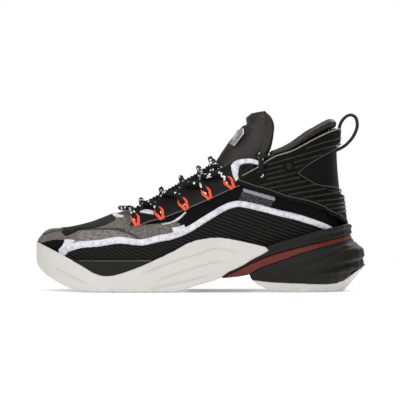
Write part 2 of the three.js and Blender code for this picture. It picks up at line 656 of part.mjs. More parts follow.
const tongueTop = tonguePiece(FLEX + flexStep, 1, TONGUE_FLAP_WALL, 9);
const BADGE_MARK = [0.76, -0.22];
const BADGE_WALL = 1.4;
function tongueBadge() {
  const outline = new THREE.Shape(
    [[-4.2, -9], [4.2, -9], [5.5, 6], [0, 10], [-5.5, 6]].map(([a, b]) => new THREE.Vector2(a, b)),
  );
  const made = new THREE.ExtrudeGeometry(outline, { depth: BADGE_WALL, bevelEnabled: false });
  const [v, w] = BADGE_MARK;
  const out = tongueNormal(v, w);
  const up = tonguePoint(v + 0.04, w).sub(tonguePoint(v - 0.04, w)).normalize();
  const across = up.clone().cross(out).normalize();
  made.applyMatrix4(new THREE.Matrix4().makeBasis(across, out.clone().cross(across), out));
  const at = tonguePoint(v, w).addScaledVector(out, LAYER_GAP);
  made.translate(at.x, at.y, at.z);
  return solid(made);
}

// ---------------------------------------------------------------- lace and its loops
const LOOP_FEET = [[-57.9, 59], [-35.6, 65.6], [-13.7, 74.6], [7.3, 84.4], [27.8, 94.2]];
const LOOP_HEADS = [[-61.1, 68.2], [-39.7, 74.8], [-19.2, 83.4], [1.8, 93.4], [21.4, 103.2]];
const LOOP_LIFT = OVERLAY_OUT + LAYER_GAP + LOOP_RADIUS;
const CROSSINGS = [-71, -52, -33.7, -15.5, 0.9, 12.5]; // x of the rows where two runs of lace cross
const onSide = (side, x, z, d) => {
  const m = side(mark(x, z));
  return surface(m.x, m.y, d);
};

function laceLoop(row, side) {
  const [foot, head] = [LOOP_FEET[row], LOOP_HEADS[row]];
  const ahead = new THREE.Vector2(head[0] - foot[0], head[1] - foot[1]).normalize();
  const across = new THREE.Vector2(-ahead.y, ahead.x);
  const length = Math.hypot(head[0] - foot[0], head[1] - foot[1]);
  const at = (up, sideways) => {
    const x = foot[0] + ahead.x * up + across.x * sideways;
    const z = foot[1] + ahead.y * up + across.y * sideways;
    return onSide(side, x, z, LOOP_LIFT);
  };
  const leg = [[0, 0.4], [0.3, 0.75], [0.58, 1], [0.88, 0.8]];
  const forward = leg.map(([up, share]) => at(length * up, LOOP_HALF_WIDTH * share));
  const rearward = leg.map(([up, share]) => at(length * up, -LOOP_HALF_WIDTH * share)).reverse();
  return tube([...forward, at(length * 1.1, 0), ...rearward], LOOP_RADIUS, 6, 12);
}

// One pass of the lace through a loop: over its head, in through the hole and up under the eyestay.
const OVER = LOOP_LIFT + LOOP_RADIUS + 2 * LAYER_GAP + LACE_RADIUS;
const UNDER = -LACE_RADIUS - LAYER_GAP;
const underEdge = (side, x) => {
  const u = bisect(3, THROAT_FRONT, (v) => lastPoint(v, 1).x > x * GRADE_X);
  const m = side(new THREE.Vector2(u, NEAR_EDGE));
  return surface(m.x, m.y, UNDER - 0.6);
};
const overEdge = (side, x) => {
  const u = bisect(3, THROAT_FRONT, (v) => lastPoint(v, 1).x > x * GRADE_X);
  const m = side(new THREE.Vector2(u, NEAR_EDGE));
  return surface(m.x, m.y, OVERLAY_OUT + LACE_RADIUS + 0.7);
};
const holes = []; // where the lace goes through the upper: from one of its points to another
function throughLoop(row, side) {
  const [foot, head] = [LOOP_FEET[row], LOOP_HEADS[row]];
  const between = (share) => [
    foot[0] + (head[0] - foot[0]) * share,
    foot[1] + (head[1] - foot[1]) * share,
  ];
  const [hx, hz] = between(1.3);
  const [ox, oz] = between(0.98);
  const [ix, iz] = between(0.55);
  const pass = [
    onSide(side, hx - 1.5, hz, OVER - 0.2),
    onSide(side, ox - 0.4, oz, OVER + 0.7),
    onSide(side, ix, iz, LOOP_LIFT + 0.2),
    onSide(side, ix + 0.8, iz + 1.2, UNDER - 0.4),
    onSide(side, head[0] + 4, head[1] + 1.5, UNDER - 0.5),
    underEdge(side, CROSSINGS[row + 1] - 1.5),
  ];
  holes.push([pass[1], pass[4]]);
  return pass;
}
// Where the lace comes up between the tongue and the eyestay's edge, and where two runs cross on the ridge.
const onTongue = (x, share, side, lift) => {
  const v = bisect(0, 1, (s) => tonguePoint(s, share).x < x * GRADE_X);
  const p = tonguePoint(v, share).addScaledVector(tongueNormal(v, share), LACE_RADIUS + lift);
  return new THREE.Vector3(p.x, p.y * (side === LATERAL ? -1 : 1), p.z);
};
const ROWS = LOOP_FEET.length;
function laceHalf(first) {
  const points = [];
  let side = first;
  for (let row = 0; row < ROWS; row++) {
    const pass = throughLoop(row, side);
    const hump = first === LATERAL ? 2 * LACE_RADIUS + 0.6 : 0;
    const x = CROSSINGS[row + 1];
    if (row > 0) points.push(overEdge(side, CROSSINGS[row] + 4.5));
    points.push(...pass);
    points.push(onTongue(x - 1.5, 0.45, side, 0.9), onTongue(x - 0.5, 0.22, side, 0.9 + hump * 0.5));
    points.push(onTongue(x, 0, side, 0.7 + hump));
    side = side === LATERAL ? MEDIAL : LATERAL;
    points.push(onTongue(x + 0.5, 0.22, side, 0.9 + hump * 0.5));
  }
  points.push(onTongue(CROSSINGS[ROWS] + 3, 0.45, side, 1.6));
  const intoEyelet = [
    onSide(side, 36, 113, SHELL_IN + LACE_RADIUS + 1.9),
    onSide(side, EYELET[0] + 0.6, EYELET[1] - 0.5, 2),
    onSide(side, EYELET[0] + 4.2, EYELET[1] - 2.2, UNDER - 0.6),
  ];
  const outOfShell = [
    onSide(side, SHELL_HOLE[0] - 4.5, SHELL_HOLE[1] + 0.5, UNDER - 0.6),
    onSide(side, SHELL_HOLE[0], SHELL_HOLE[1], 2.5),
    onSide(side, SHELL_HOLE[0] + 0.6, SHELL_HOLE[1] + 5, SHELL_OUT + LACE_RADIUS + 0.9),
  ];
  holes.push([intoEyelet[0], intoEyelet[2]], [outOfShell[0], outOfShell[2]]);
  points.push(
    onSide(side, 29, 115.5, SHELL_IN + LACE_RADIUS + 1),
    ...intoEyelet,
    ...outOfShell,
    onSide(side, SHELL_HOLE[0] + 0.6, SHELL_HOLE[1] + 11, SHELL_OUT + LACE_RADIUS + 0.7),
  );
  const rim = lastPoint(side(new THREE.Vector2(4.05, 1)).x, 1);
  const y = Math.sign(rim.y);
  const top = new THREE.Vector3(rim.x, rim.y + 0.6 * y, rim.z + LACE_RADIUS + 2.6);
  points.push(top);
  return { points, top, y };
}
const laceRuns = [laceHalf(LATERAL), laceHalf(MEDIAL)];
const BAR_LIFT = OVERLAY_OUT + LACE_RADIUS + 0.5;
const firstBar = [
  onSide(LATERAL, -69, 70, BAR_LIFT),
  surface(THROAT_FRONT, 1, BAR_LIFT),
  onSide(MEDIAL, -69, 70, BAR_LIFT),
];
const lacePoints = [...laceRuns[0].points.slice().reverse(), ...firstBar, ...laceRuns[1].points];
const LACE_STEPS = Math.round(lacePoints.length * 1.45);

// The free ends drop from the collar's edge and hang inside the shoe.
function laceEnd(run) {
  const { top, y } = run;
  const down = (share, inwards, back) =>
    new THREE.Vector3(top.x + back, top.y - y * inwards, top.z - share * LACE_END_LENGTH);
  const start = down(0.06, 4.6, 0.2);
  return [start, down(0.2, 6.2, 0.4), down(0.45, 6.4, 1), down(0.75, 5.6, 2), down(1, 5.2, 3)];
}
const endPoints = laceRuns.map(laceEnd);
laceRuns.forEach((run, i) => {
  const last = new THREE.Vector3(run.top.x, run.top.y - run.y * 3.4, run.top.z - 1.2);
  const target = i === 0 ? "unshift" : "push";
  lacePoints[target](last);
});

// ---------------------------------------------------------------- pull loop
const PULL_LINE = [
  [127.4, 148.2], [128.3, 153], [131.6, 158], [136.8, 160.6], [141.6, 157.5], [143, 150], [139.8, 141.5],
  [134.7, 134.8], [129.9, 130.8], [125.8, 128.4],
];
function pullLoop() {
  const centre = new THREE.SplineCurve(PULL_LINE.map(([x, z]) => flat(x, z)));
  const rings = [];
  const steps = 26;
  for (let i = 0; i <= steps; i++) {
    const p = centre.getPoint(i / steps);
    const along = centre.getTangent(i / steps);
    const half = PULL_STRAP_WALL / 2;
    const corner = (side, out) => {
      const y = (side * PULL_STRAP_WIDTH) / 2;
      return new THREE.Vector3(p.x - along.y * half * out, y, p.y + along.x * half * out);
    };
    rings.push([corner(-1, 1), corner(1, 1), corner(1, -1), corner(-1, -1)]);
  }
  return skin(rings);
}

// ---------------------------------------------------------------- assembly
const paint = (color, roughness) => new THREE.MeshStandardMaterial({ color, roughness });
const BLACK_KNIT = paint(0x17171a, 0.9);
const BLACK_FILM = paint(0x1c1c1e, 0.45);
const BLACK_LEATHER = paint(0x201e1c, 0.5);
const BLACK_FOAM = paint(0x1a1a1a, 0.7);
const WHITE_RUBBER = paint(0xd6d3ce, 0.5);
const WHITE_CORD = paint(0xdcdbe2, 0.8);
const RED_PLATE = paint(0x8c3a30, 0.4);
const ORANGE_CORD = paint(0xf05a3c, 0.5);
const BOARD = paint(0x8f8f8a, 0.9);

const shoe = new THREE.Group();
// The last's centre line curves inwards towards the toe.
const swing = (x) => TOE_SWING * (Math.min(0, x) / (SHOE_LENGTH / 2)) ** 2;
function add(name, body, material) {
  const mesh = mainBody(body).getMesh();
  const positions = new Float32Array(mesh.numVert * 3);
  for (let i = 0; i < mesh.numVert; i++) {
    const [x, y, z] = mesh.vertProperties.subarray(i * mesh.numProp, i * mesh.numProp + 3);
    positions.set([x, y + swing(x), z], 3 * i);
  }
  const geometry = new THREE.BufferGeometry();
  geometry.setAttribute("position", new THREE.BufferAttribute(positions, 3));
  geometry.setIndex(new THREE.BufferAttribute(mesh.triVerts, 1));
  geometry.computeVertexNormals();
  const made = new THREE.Mesh(geometry, material);
  made.name = name;
  shoe.add(made);
}

const laceTube = tube(lacePoints, LACE_RADIUS, 6, LACE_STEPS);
const laceLine = new THREE.CatmullRomCurve3(lacePoints, false, "centripetal");
const BORE_STEPS = 4;
const laceBores = holes.map(([from, to]) => {
  const last = lacePoints.length - 1;
  const [low, high] = [lacePoints.indexOf(from), lacePoints.indexOf(to)].sort((a, b) => a - b);
  const share = (i) => (low + ((high - low) * i) / BORE_STEPS) / last;
  const inside = Array.from({ length: BORE_STEPS + 1 }, (_, i) => laceLine.getPoint(share(i)));
  return tube(inside, LACE_RADIUS + LAYER_GAP + 0.55, 6, BORE_STEPS);
});
const cutForLace = (body) => laceBores.reduce((cut, bore) => cut.subtract(bore), body);

add("forefoot_outsole", forefootCup, WHITE_RUBBER);
add("heel_outsole", heelRubber, WHITE_RUBBER);
add("midsole_carrier", midsole, BLACK_FOAM);
add("shank_plate", shankPlate, RED_PLATE);
add("heel_pod", heelPod, BLACK_FOAM);
add("strobel_board", strobel, BOARD);
add("sockliner", sockliner, BLACK_KNIT);
add("heel_counter", heelCounter, BOARD);
add("ankle_padding", anklePadding, BLACK_FOAM);
add("collar_lining", lining, BLACK_KNIT);
add("collar_roll", collarRoll(), BLACK_LEATHER);
add("upper_bootie", cutForLace(bootie()), BLACK_KNIT);
add("toe_guard", toeGuard, BLACK_FILM);
add("ankle_shell", cutForLace(ankleShell()), BLACK_FOAM);
add("heel_panel", heelPanel, BLACK_FILM);
add("lace", laceTube, BLACK_KNIT);
add("tongue_base", tongueBase, BLACK_KNIT);
add("tongue_top", tongueTop, BLACK_LEATHER);
add("tongue_badge", tongueBadge(), WHITE_CORD);
add("pull_loop", pullLoop(), BLACK_KNIT);

for (const [word, side, i] of [["lateral", LATERAL, 0], ["medial", MEDIAL, 1]]) {
  add(`side_panel_${word}`, sidePanel(side), BLACK_KNIT);
  add(`side_piping_${word}`, piping(side), WHITE_CORD);
  add(`eyestay_${word}`, cutForLace(eyestay(side)), BLACK_FILM);
  add(`eyelet_patch_${word}`, cutForLace(eyeletPatch(side)), WHITE_CORD);
  add(`vamp_film_${word}`, vampFilm(side), BLACK_FILM);
  add(`toe_strap_${word}`, toeStrap(side), BLACK_FILM);
  add(`ankle_rivet_${word}`, standing(studGeometry, RIVET_PLACE, SHELL_OUT + RIVET_SEAT, side), BLACK_FILM);
  for (let row = 0; row < ROWS; row++) {
    add(`lace_loop_${word}_${row + 1}`, laceLoop(row, side), ORANGE_CORD);
  }
  const run = i === 0 ? 1 : 0; // five rows: each half of the lace ends on the side it did not start on
  const points = endPoints[run];
  add(`lace_end_${word}`, tube(points, LACE_RADIUS, 8, 12), BLACK_KNIT);
  const tip = points.at(-1);
  const aglet = new THREE.CylinderGeometry(LACE_RADIUS * 0.85, LACE_RADIUS * 0.7, AGLET_LENGTH, 10);
  aglet.rotateX(Math.PI / 2);
  aglet.translate(tip.x, tip.y, tip.z - AGLET_LENGTH / 2 - LAYER_GAP - 0.2);
  add(`aglet_${word}`, solid(aglet), BLACK_FILM);
}

shoe.updateMatrixWorld(true);
const extent = new THREE.Box3().setFromObject(shoe);
const middle = extent.getCenter(new THREE.Vector3());
shoe.position.set(-middle.x, -middle.y, -extent.min.z);

export default shoe;
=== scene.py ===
import math

import bmesh
import bpy
import numpy as np
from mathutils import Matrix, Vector


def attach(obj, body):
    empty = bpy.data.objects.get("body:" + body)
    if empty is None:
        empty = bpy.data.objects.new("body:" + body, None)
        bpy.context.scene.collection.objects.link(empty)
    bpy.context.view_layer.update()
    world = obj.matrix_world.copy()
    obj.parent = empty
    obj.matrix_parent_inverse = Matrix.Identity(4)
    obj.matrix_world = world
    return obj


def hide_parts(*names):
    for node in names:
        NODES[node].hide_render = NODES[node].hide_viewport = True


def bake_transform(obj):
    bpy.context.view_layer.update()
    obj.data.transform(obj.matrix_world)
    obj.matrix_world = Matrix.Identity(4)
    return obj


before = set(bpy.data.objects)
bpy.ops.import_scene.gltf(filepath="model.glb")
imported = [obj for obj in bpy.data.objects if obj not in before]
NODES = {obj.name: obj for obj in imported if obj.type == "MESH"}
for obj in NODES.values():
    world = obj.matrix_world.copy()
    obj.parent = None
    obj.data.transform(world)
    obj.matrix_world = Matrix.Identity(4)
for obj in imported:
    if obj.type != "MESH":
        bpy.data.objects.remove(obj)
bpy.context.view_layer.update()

bl_info = {
    "name": "Basketball high top",
    "version": (1, 0, 0),
    "blender": (4, 5, 0),
    "location": "3D View > Sidebar > High top",
    "description": "Dresses the packed shoe: knit, panels, shell, sole, tongue, lace and stitching",
    "category": "Object",
}

MM = 0.001
SIDES = ("lateral", "medial")

# ------------------------------------------------------------------ the last
# Each station is a rib from the foot bed to the throat: foot, two handles, top, as x, half-width, z in mm.
STATIONS = np.array([
    [[127.5, 0, 30], [131, 0, 62], [117, 0, 104], [121.5, 0, 148]],
    [[121, 18.5, 30], [124, 22, 60], [112, 17, 103], [116, 18, 146.5]],
    [[102, 29, 29], [104, 35, 56], [97, 27, 96], [98, 28.5, 137]],
    [[76, 31.5, 28], [77, 39, 52], [76, 33, 88], [77, 33, 125.5]],
    [[52, 32, 26.5], [52, 41, 50], [52, 38, 88], [55, 31, 121.5]],
    [[30, 33, 25], [30, 43, 48], [30, 40, 84], [32, 24.5, 117]],
    [[5, 36, 22.5], [5, 46, 44], [5, 41, 76], [7, 20.5, 103.5]],
    [[-22, 40, 19], [-22, 50, 38], [-22, 43, 64], [-19, 17.5, 91.5]],
    [[-50, 44, 16.5], [-50, 54, 33], [-50, 43, 54], [-53, 14, 74.5]],
    [[-78, 45, 16], [-78, 53.5, 34], [-77, 27, 70], [-72, 0, 70.5]],
    [[-104, 41, 18.5], [-106, 48, 38], [-103, 25, 60.5], [-98, 0, 61]],
    [[-127, 30, 22], [-129.5, 34, 42], [-123, 16, 55.8], [-117, 0, 56.2]],
    [[-137, 16, 25.5], [-143, 18.5, 43], [-137.5, 9.5, 56.3], [-127, 0, 55]],
    [[-141.5, 0, 27], [-148, 0, 44], [-144.5, 0, 57], [-129.5, 0, 54.8]],
])
TOE = len(STATIONS) - 1
ROUND = 2 * TOE
THROAT_FRONT = 9
STEP = 0.004  # share of a rib or station over which a slope is taken
CENTRE_PLANE = 1e-4
HALVINGS = 24
TOE_SWING = 9
SHOE_REACH = 150
SHIFT = np.array([1.125, -2.0569, 0.0])
SIDE_SIGN = np.array([1.0, -1.0, 1.0])
RAILS = np.concatenate([STATIONS * SIDE_SIGN, STATIONS[TOE - 1:0:-1]])

BOOTIE_WALL = 1.7
LAYER_GAP = 0.3
OVERLAY_OUT = 3.0
SHELL_IN = 3.3
SHELL_OUT = 5.6
SHELL_HEEL_EXTRA = 0.875
LACE_RADIUS = 2.0
LOOP_RADIUS = 1.1
LOOP_HALF_WIDTH = 3.5


def cubic(x0, x1, x2, x3, w):
    """A point between x1 and x2 on a uniform Catmull-Rom curve."""
    t0, t1 = (x2 - x0) / 2, (x3 - x1) / 2
    return x1 + t0 * w + (3 * (x2 - x1) - 2 * t0 - t1) * w**2 + (2 * (x1 - x2) + t0 + t1) * w**3


def last_point(u, t):
    """A point of the last in pattern mm: u counts stations round the shoe, t runs from foot bed to top."""
    u, t = np.broadcast_arrays(np.asarray(u, float), np.asarray(t, float))
    around = np.mod(u, ROUND)
    i = np.floor(around).astype(int)
    w = (around - i)[..., None, None]
    ribs = cubic(*(RAILS[(i + k) % ROUND] for k in (-1, 0, 1, 2)), w)
    side = np.where(around <= TOE, -1, 1)
    top = ribs[..., 3, 1]
    shut = (np.abs(around - TOE) <= TOE - THROAT_FRONT) | (top * side < 0)
    ribs[..., 3, 1] = np.where(shut, 0, top)
    t = t[..., None]
    return (ribs[..., 0, :] * (1 - t) ** 3 + 3 * ribs[..., 1, :] * (1 - t) ** 2 * t
            + 3 * ribs[..., 2, :] * (1 - t) * t**2 + ribs[..., 3, :] * t**3)


def unit(v):
    return v / np.maximum(np.linalg.norm(v, axis=-1, keepdims=True), 1e-12)


def outward(u, t):
    """The way out from the last, square to it."""
    u, t = np.broadcast_arrays(np.asarray(u, float), np.asarray(t, float))
    along = last_point(u + STEP, t) - last_point(u - STEP, t)
    up = last_point(u, np.minimum(1, t + STEP)) - last_point(u, np.maximum(0, t - STEP))
    n = np.cross(up, along)
    n[..., 1] = np.where(np.abs(last_point(u, t)[..., 1]) < CENTRE_PLANE, 0, n[..., 1])
    return unit(n)


def surface(u, t, d):
    """A point at height d above the last."""
    return last_point(u, t) + outward(u, t) * np.asarray(d, float)[..., None]


def bisect(low, high, below):
    """Where a test that holds at low stops holding on the way to high."""
    for _ in range(HALVINGS):
        middle = (low + high) / 2
        under = below(middle)
        low, high = np.where(under, middle, low), np.where(under, high, middle)
    return (low + high) / 2


def rib_at(u, z):
    """The rib position at height z."""
    u, z = np.broadcast_arrays(np.asarray(u, float), np.asarray(z, float))
    return bisect(np.zeros(u.shape), np.ones(u.shape), lambda t: last_point(u, t)[..., 2] < z)


def mark(points):
    """Station and rib position of points given in side view."""
    points = np.asarray(points, float)
    x, z = points[..., 0], points[..., 1]
    u = bisect(np.zeros(x.shape), np.full(x.shape, float(TOE)),
               lambda v: last_point(v, rib_at(v, z))[..., 0] > x)
    return np.stack([u, rib_at(u, z)], -1)


def spline(points, s):
    """A smooth curve through points, by a share s from 0 to 1."""
    points = np.asarray(points, float)
    last = len(points) - 1
    p = np.clip(s, 0, 1) * last
    i = np.minimum(np.floor(p).astype(int), last)
    w = (p - i)[..., None]
    at = lambda k: points[np.clip(i + k, 0, last)]
    return cubic(at(-1), at(0), at(1), at(2), w)


def back_mark(z):
    return [0.0, float(rib_at(0.0, z))]


def seam(points):
    """A line on the last through points given in side view, by a share from 0 to 1."""
    marks = mark(points)
    return lambda s: spline(marks, s)


def wrap_seam(points, heel_z):
    """A seam that goes round the heel and comes back along the other side."""
    marks = np.vstack([mark(points), [back_mark(heel_z)]])
    whole = np.vstack([marks, marks[-2::-1] * [-1, 1]])
    return lambda s: spline(whole, s)


def placed(points):
    """Pattern millimetres to frame metres: the centre line curves inwards towards the toe."""
    points = np.array(points, float)
    points[..., 1] += TOE_SWING * (np.minimum(0, points[..., 0]) / SHOE_REACH) ** 2
    return (points + SHIFT) * MM


def smooth(a, b, v):
    s = np.clip((np.asarray(v, float) - a) / (b - a), 0, 1)
    return s * s * (3 - 2 * s)


def to_segment(x, z, line):
    """Distance in side view from points to a line of points."""
    line = np.asarray(line, float)
    best = np.full(np.shape(x), 1e9)
    for (ax, az), (bx, bz) in zip(line[:-1], line[1:]):
        length = (bx - ax) ** 2 + (bz - az) ** 2
        s = np.clip(((x - ax) * (bx - ax) + (z - az) * (bz - az)) / length, 0, 1)
        best = np.minimum(best, np.hypot(x - ax - s * (bx - ax), z - az - s * (bz - az)))
    return best


def inside(x, z, outline):
    """Signed distance in side view to a closed outline, positive inside it."""
    outline = np.asarray(outline, float)
    closed = np.vstack([outline, outline[:1]])
    odd = np.zeros(np.shape(x), bool)
    for (ax, az), (bx, bz) in zip(closed[:-1], closed[1:]):
        crosses = (az > z) != (bz > z)
        odd ^= crosses & (x < (bx - ax) * (z - az) / (bz - az + 1e-12) + ax)
    return to_segment(x, z, closed) * np.where(odd, 1, -1)


# ------------------------------------------------------------------ mesh helpers
CAP_RINGS = 2
PATTERN_SCALE = 10  # mm to one unit of a pattern
CUTTER_HALF = 140.0
SHRINK_STEP, SWELL_STEP = 0.6, -0.58
SKIN = 0.08  # thickness in mm at a panel's very edge


def linked(name, mesh):
    """A mesh as an object in the scene."""
    made = bpy.data.objects.new(name, mesh)
    bpy.context.scene.collection.objects.link(made)
    return made


def rounded(mesh):
    """Shades every face smooth."""
    mesh.polygons.foreach_set("use_smooth", np.ones(len(mesh.polygons), bool))


def mesh_piece(name, verts, faces, uv=None, uv_faces=None, marks=None, shade=True):
    mesh = bpy.data.meshes.new(name)
    faces = faces if isinstance(faces, list) else faces.tolist()
    mesh.from_pydata(np.asarray(verts, float).tolist(), [], faces)
    if uv is not None:
        layer = mesh.uv_layers.new(name="pattern")
        layer.data.foreach_set("uv", np.asarray(uv, np.float32)[np.asarray(uv_faces).ravel()].ravel())
    for key, values in (marks or {}).items():
        attribute = mesh.attributes.new(key, "FLOAT", "POINT")
        attribute.data.foreach_set("value", np.asarray(values, np.float32))
    if shade:
        rounded(mesh)
    mesh.update()
    return linked(name, mesh)


def grid_faces(rows, cols, closed=False):
    r, c = np.meshgrid(np.arange(rows if closed else rows - 1), np.arange(cols - 1), indexing="ij")
    a = (r * cols + c).ravel()
    return np.stack([a, a + 1, a + cols + 1, a + cols], -1)


def ring_faces(rows, sides, poles=True):
    """Faces of stacked rings, with a fan at each end to the two points that follow the rings."""
    r, c = (index.ravel() for index in np.meshgrid(np.arange(rows - 1), np.arange(sides), indexing="ij"))
    low, high, ahead = r * sides, (r + 1) * sides, (c + 1) % sides
    faces = np.stack([low + c, low + ahead, high + ahead, high + c], -1).tolist()
    if poles:
        last = (rows - 1) * sides
        faces += [[rows * sides, (k + 1) % sides, k] for k in range(sides)]
        faces += [[rows * sides + 1, last + k, last + (k + 1) % sides] for k in range(sides)]
    return faces


def layered(name, outer, inner, uv, closed=False, marks=None, drop=None):
    """A closed body from an outer and an inner grid of points, without the faces that drop flags."""
    rows, cols = outer.shape[:2]
    count = rows * cols
    virtual = count + cols  # one more row, which a closed grid shares with its first
    face = grid_faces(rows, cols, closed)
    steps = np.arange(rows if closed else rows - 1) * cols
    rim = []
    borders = [(steps, cols, False), (steps + cols - 1, cols, True)]
    if not closed:
        across = np.arange(cols - 1)
        borders += [(across, 1, True), ((rows - 1) * cols + across, 1, False)]
    for a, ahead, turn in borders:
        quad = np.stack([a, a + ahead, a + ahead + virtual, a + virtual], -1)
        rim.append(quad[:, ::-1] if turn else quad)
    faces = np.vstack([face, face[:, ::-1] + virtual, *rim])
    block, local = faces // virtual, faces % virtual
    index = np.where(local >= count, local - count, local) + block * count
    verts = np.vstack([outer.reshape(-1, 3), inner.reshape(-1, 3)])
    if drop is not None:
        keep = ~drop[index].all(1)
        index, faces = index[keep], faces[keep]
    tri = verts[index]
    volume = sum(np.einsum("ij,ij->i", tri[:, 0], np.cross(tri[:, k], tri[:, k + 1])).sum() for k in (1, 2))
    if volume < 0:
        index, faces = index[:, ::-1], faces[:, ::-1]
    flat_uv = uv.reshape(-1, 2)
    if not closed:
        flat_uv = np.vstack([flat_uv, flat_uv[-cols:]])
    both = {key: np.tile(np.asarray(v).ravel(), 2) for key, v in (marks or {}).items()}
    return mesh_piece(name, verts, index, np.vstack([flat_uv, flat_uv]), faces, both)


def arc(points, axis):
    step = np.linalg.norm(np.diff(points, axis=axis), axis=-1)
    start = np.zeros_like(np.take(step, [0], axis=axis))
    return np.concatenate([start, np.cumsum(step, axis=axis)], axis=axis)


def spaced(count, edge):
    """Even shares from 0 to 1, with more of them close to both ends."""
    near = np.array([0.12, 0.3, 0.55, 0.8, 1.0]) * edge
    return np.unique(np.round(np.concatenate([np.linspace(0, 1, count), near, 1 - near]), 7))


def patch_grid(lower, upper, d_in, d_out, medial=False, along=120, across=24, rim=1.2, relief=None):
    """The two grids of a panel that lies on the last between two seams, with softly rounded edges."""
    probe = last_point(*np.moveaxis(lower(np.linspace(0, 1, 9)), -1, 0))
    length = arc(probe, 0)[-1]
    middle = [last_point(*f(np.array([0.5]))[0]) for f in (lower, upper)]
    width = max(1.0, float(np.linalg.norm(middle[1] - middle[0])))
    s, w = spaced(along, min(0.3, rim / length)), spaced(across, min(0.4, rim / width))
    a, b = lower(s), upper(s)
    marks = a[:, None] * (1 - w[None, :, None]) + b[:, None] * w[None, :, None]
    u, t = marks[..., 0], marks[..., 1]
    if medial:
        u = ROUND - u
    base, normal = last_point(u, t), outward(u, t)
    run, climb = arc(base, 0), arc(base, 1)
    edge = np.minimum(np.minimum(run, run[-1:] - run), np.minimum(climb, climb[:, -1:] - climb))
    swell = np.sqrt(np.maximum(0, 1 - (1 - np.clip(edge / rim, 0, 1)) ** 2))
    low, high = (d(u, t) if callable(d) else np.full(u.shape, float(d)) for d in (d_in, d_out))
    top = low + SKIN + (high - low - SKIN) * swell
    if relief:
        top = top + relief(base, run, climb, edge)
    outer = base + normal * top[..., None]
    inner = base + normal * low[..., None]
    return outer, inner, np.stack([run, climb], -1) / PATTERN_SCALE, edge


def patch(name, *args, marks=None, **kinds):
    outer, inner, uv, edge = patch_grid(*args, **kinds)
    extra = {"edge": np.clip(edge / 3, 0, 1)}
    if marks:
        extra.update(marks(outer))
    return layered(name, placed(outer), placed(inner), uv, marks=extra)


def frames(points):
    """Tangent and two cross directions along a line, turning as little as they can."""
    tangent = unit(np.gradient(points, axis=0))
    side = np.zeros_like(points)
    seed = np.array([0.0, 0.0, 1.0]) if abs(tangent[0][2]) < 0.9 else np.array([0.0, 1.0, 0.0])
    side[0] = unit(np.cross(tangent[0], seed))
    for k in range(1, len(points)):
        side[k] = unit(side[k - 1] - tangent[k] * np.dot(side[k - 1], tangent[k]))
    return tangent, side, np.cross(tangent, side)


def tube(name, points, radius, sides, shape=None):
    """A round cord along points in frame metres, closed by rounded ends."""
    tangent, side, up = frames(points)
    run = arc(points, 0)
    radius = np.broadcast_to(np.asarray(radius, float), (len(points),))
    angle = 2 * math.pi * np.arange(sides + 1) / sides
    swell = np.ones((len(points), sides + 1)) if shape is None else shape(run[:, None], angle[None])
    ring = (side[:, None] * np.cos(angle)[None, :, None] + up[:, None] * np.sin(angle)[None, :, None])
    body = points[:, None] + ring * (radius[:, None] * swell)[..., None]
    turn = np.linspace(math.pi / 2, 0, CAP_RINGS + 2)[1:-1]
    bend, reach = np.sin(turn), np.cos(turn)
    head, tail = ([points[end] + ring[end] * radius[end] * b + way * tangent[end] * radius[end] * r
                   for b, r in zip(bend, reach)] for end, way in ((0, -1), (-1, 1)))
    grid = np.concatenate([np.array(head[::-1]), body, np.array(tail)])
    run = np.concatenate([run[0] - radius[0] * reach[::-1], run, run[-1] + radius[-1] * reach])
    rows, cols = len(grid), sides + 1
    caps = [points[0] - tangent[0] * radius[0], points[-1] + tangent[-1] * radius[-1]]
    mesh = bpy.data.meshes.new(name)
    mesh.from_pydata(np.vstack([grid[:, :sides].reshape(-1, 3), caps]).tolist(), [], ring_faces(rows, sides))
    last = (rows - 1) * cols
    fans = [[k + 1, k + 1, k] for k in range(sides)]
    fans += [[last + k, last + k, last + k + 1] for k in range(sides)]
    order = np.concatenate([grid_faces(rows, cols).ravel(), np.array(fans).ravel()])
    uv = np.stack(np.broadcast_arrays(run[:, None] * 100, (np.arange(cols) / sides)[None]), -1).reshape(-1, 2)
    layer = mesh.uv_layers.new(name="pattern")
    layer.data.foreach_set("uv", uv[order].astype(np.float32).ravel())
    rounded(mesh)
    mesh.update()
    fix_outside(mesh)
    return linked(name, mesh)


def fix_outside(mesh):
    """Turns the faces of a closed mesh outwards."""
    bm = bmesh.new()
    bm.from_mesh(mesh)
    if bm.calc_volume(signed=True) < 0:
        bmesh.ops.reverse_faces(bm, faces=bm.faces)
    bm.to_mesh(mesh)
    bm.free()


def welded(obj, distance=1e-6):
    bm = bmesh.new()
    bm.from_mesh(obj.data)
    bmesh.ops.remove_doubles(bm, verts=bm.verts, dist=distance)
    bm.to_mesh(obj.data)
    bm.free()
    return obj


def joined(name, parts):
    """Several meshes as one piece."""
    bm = bmesh.new()
    for part in parts:
        bm.from_mesh(part.data)
    mesh = bpy.data.meshes.new(name)
    bm.to_mesh(mesh)
    bm.free()
    for part in parts:
        bpy.data.objects.remove(part)
    rounded(mesh)
    return linked(name, mesh)


def settled(obj):
    """The object's modifiers turned into a plain mesh."""
    graph = bpy.context.evaluated_depsgraph_get()
    graph.update()
    mesh = bpy.data.meshes.new_from_object(obj.evaluated_get(graph))
    obj.modifiers.clear()
    old, obj.data = obj.data, mesh
    bpy.data.meshes.remove(old)
    return obj


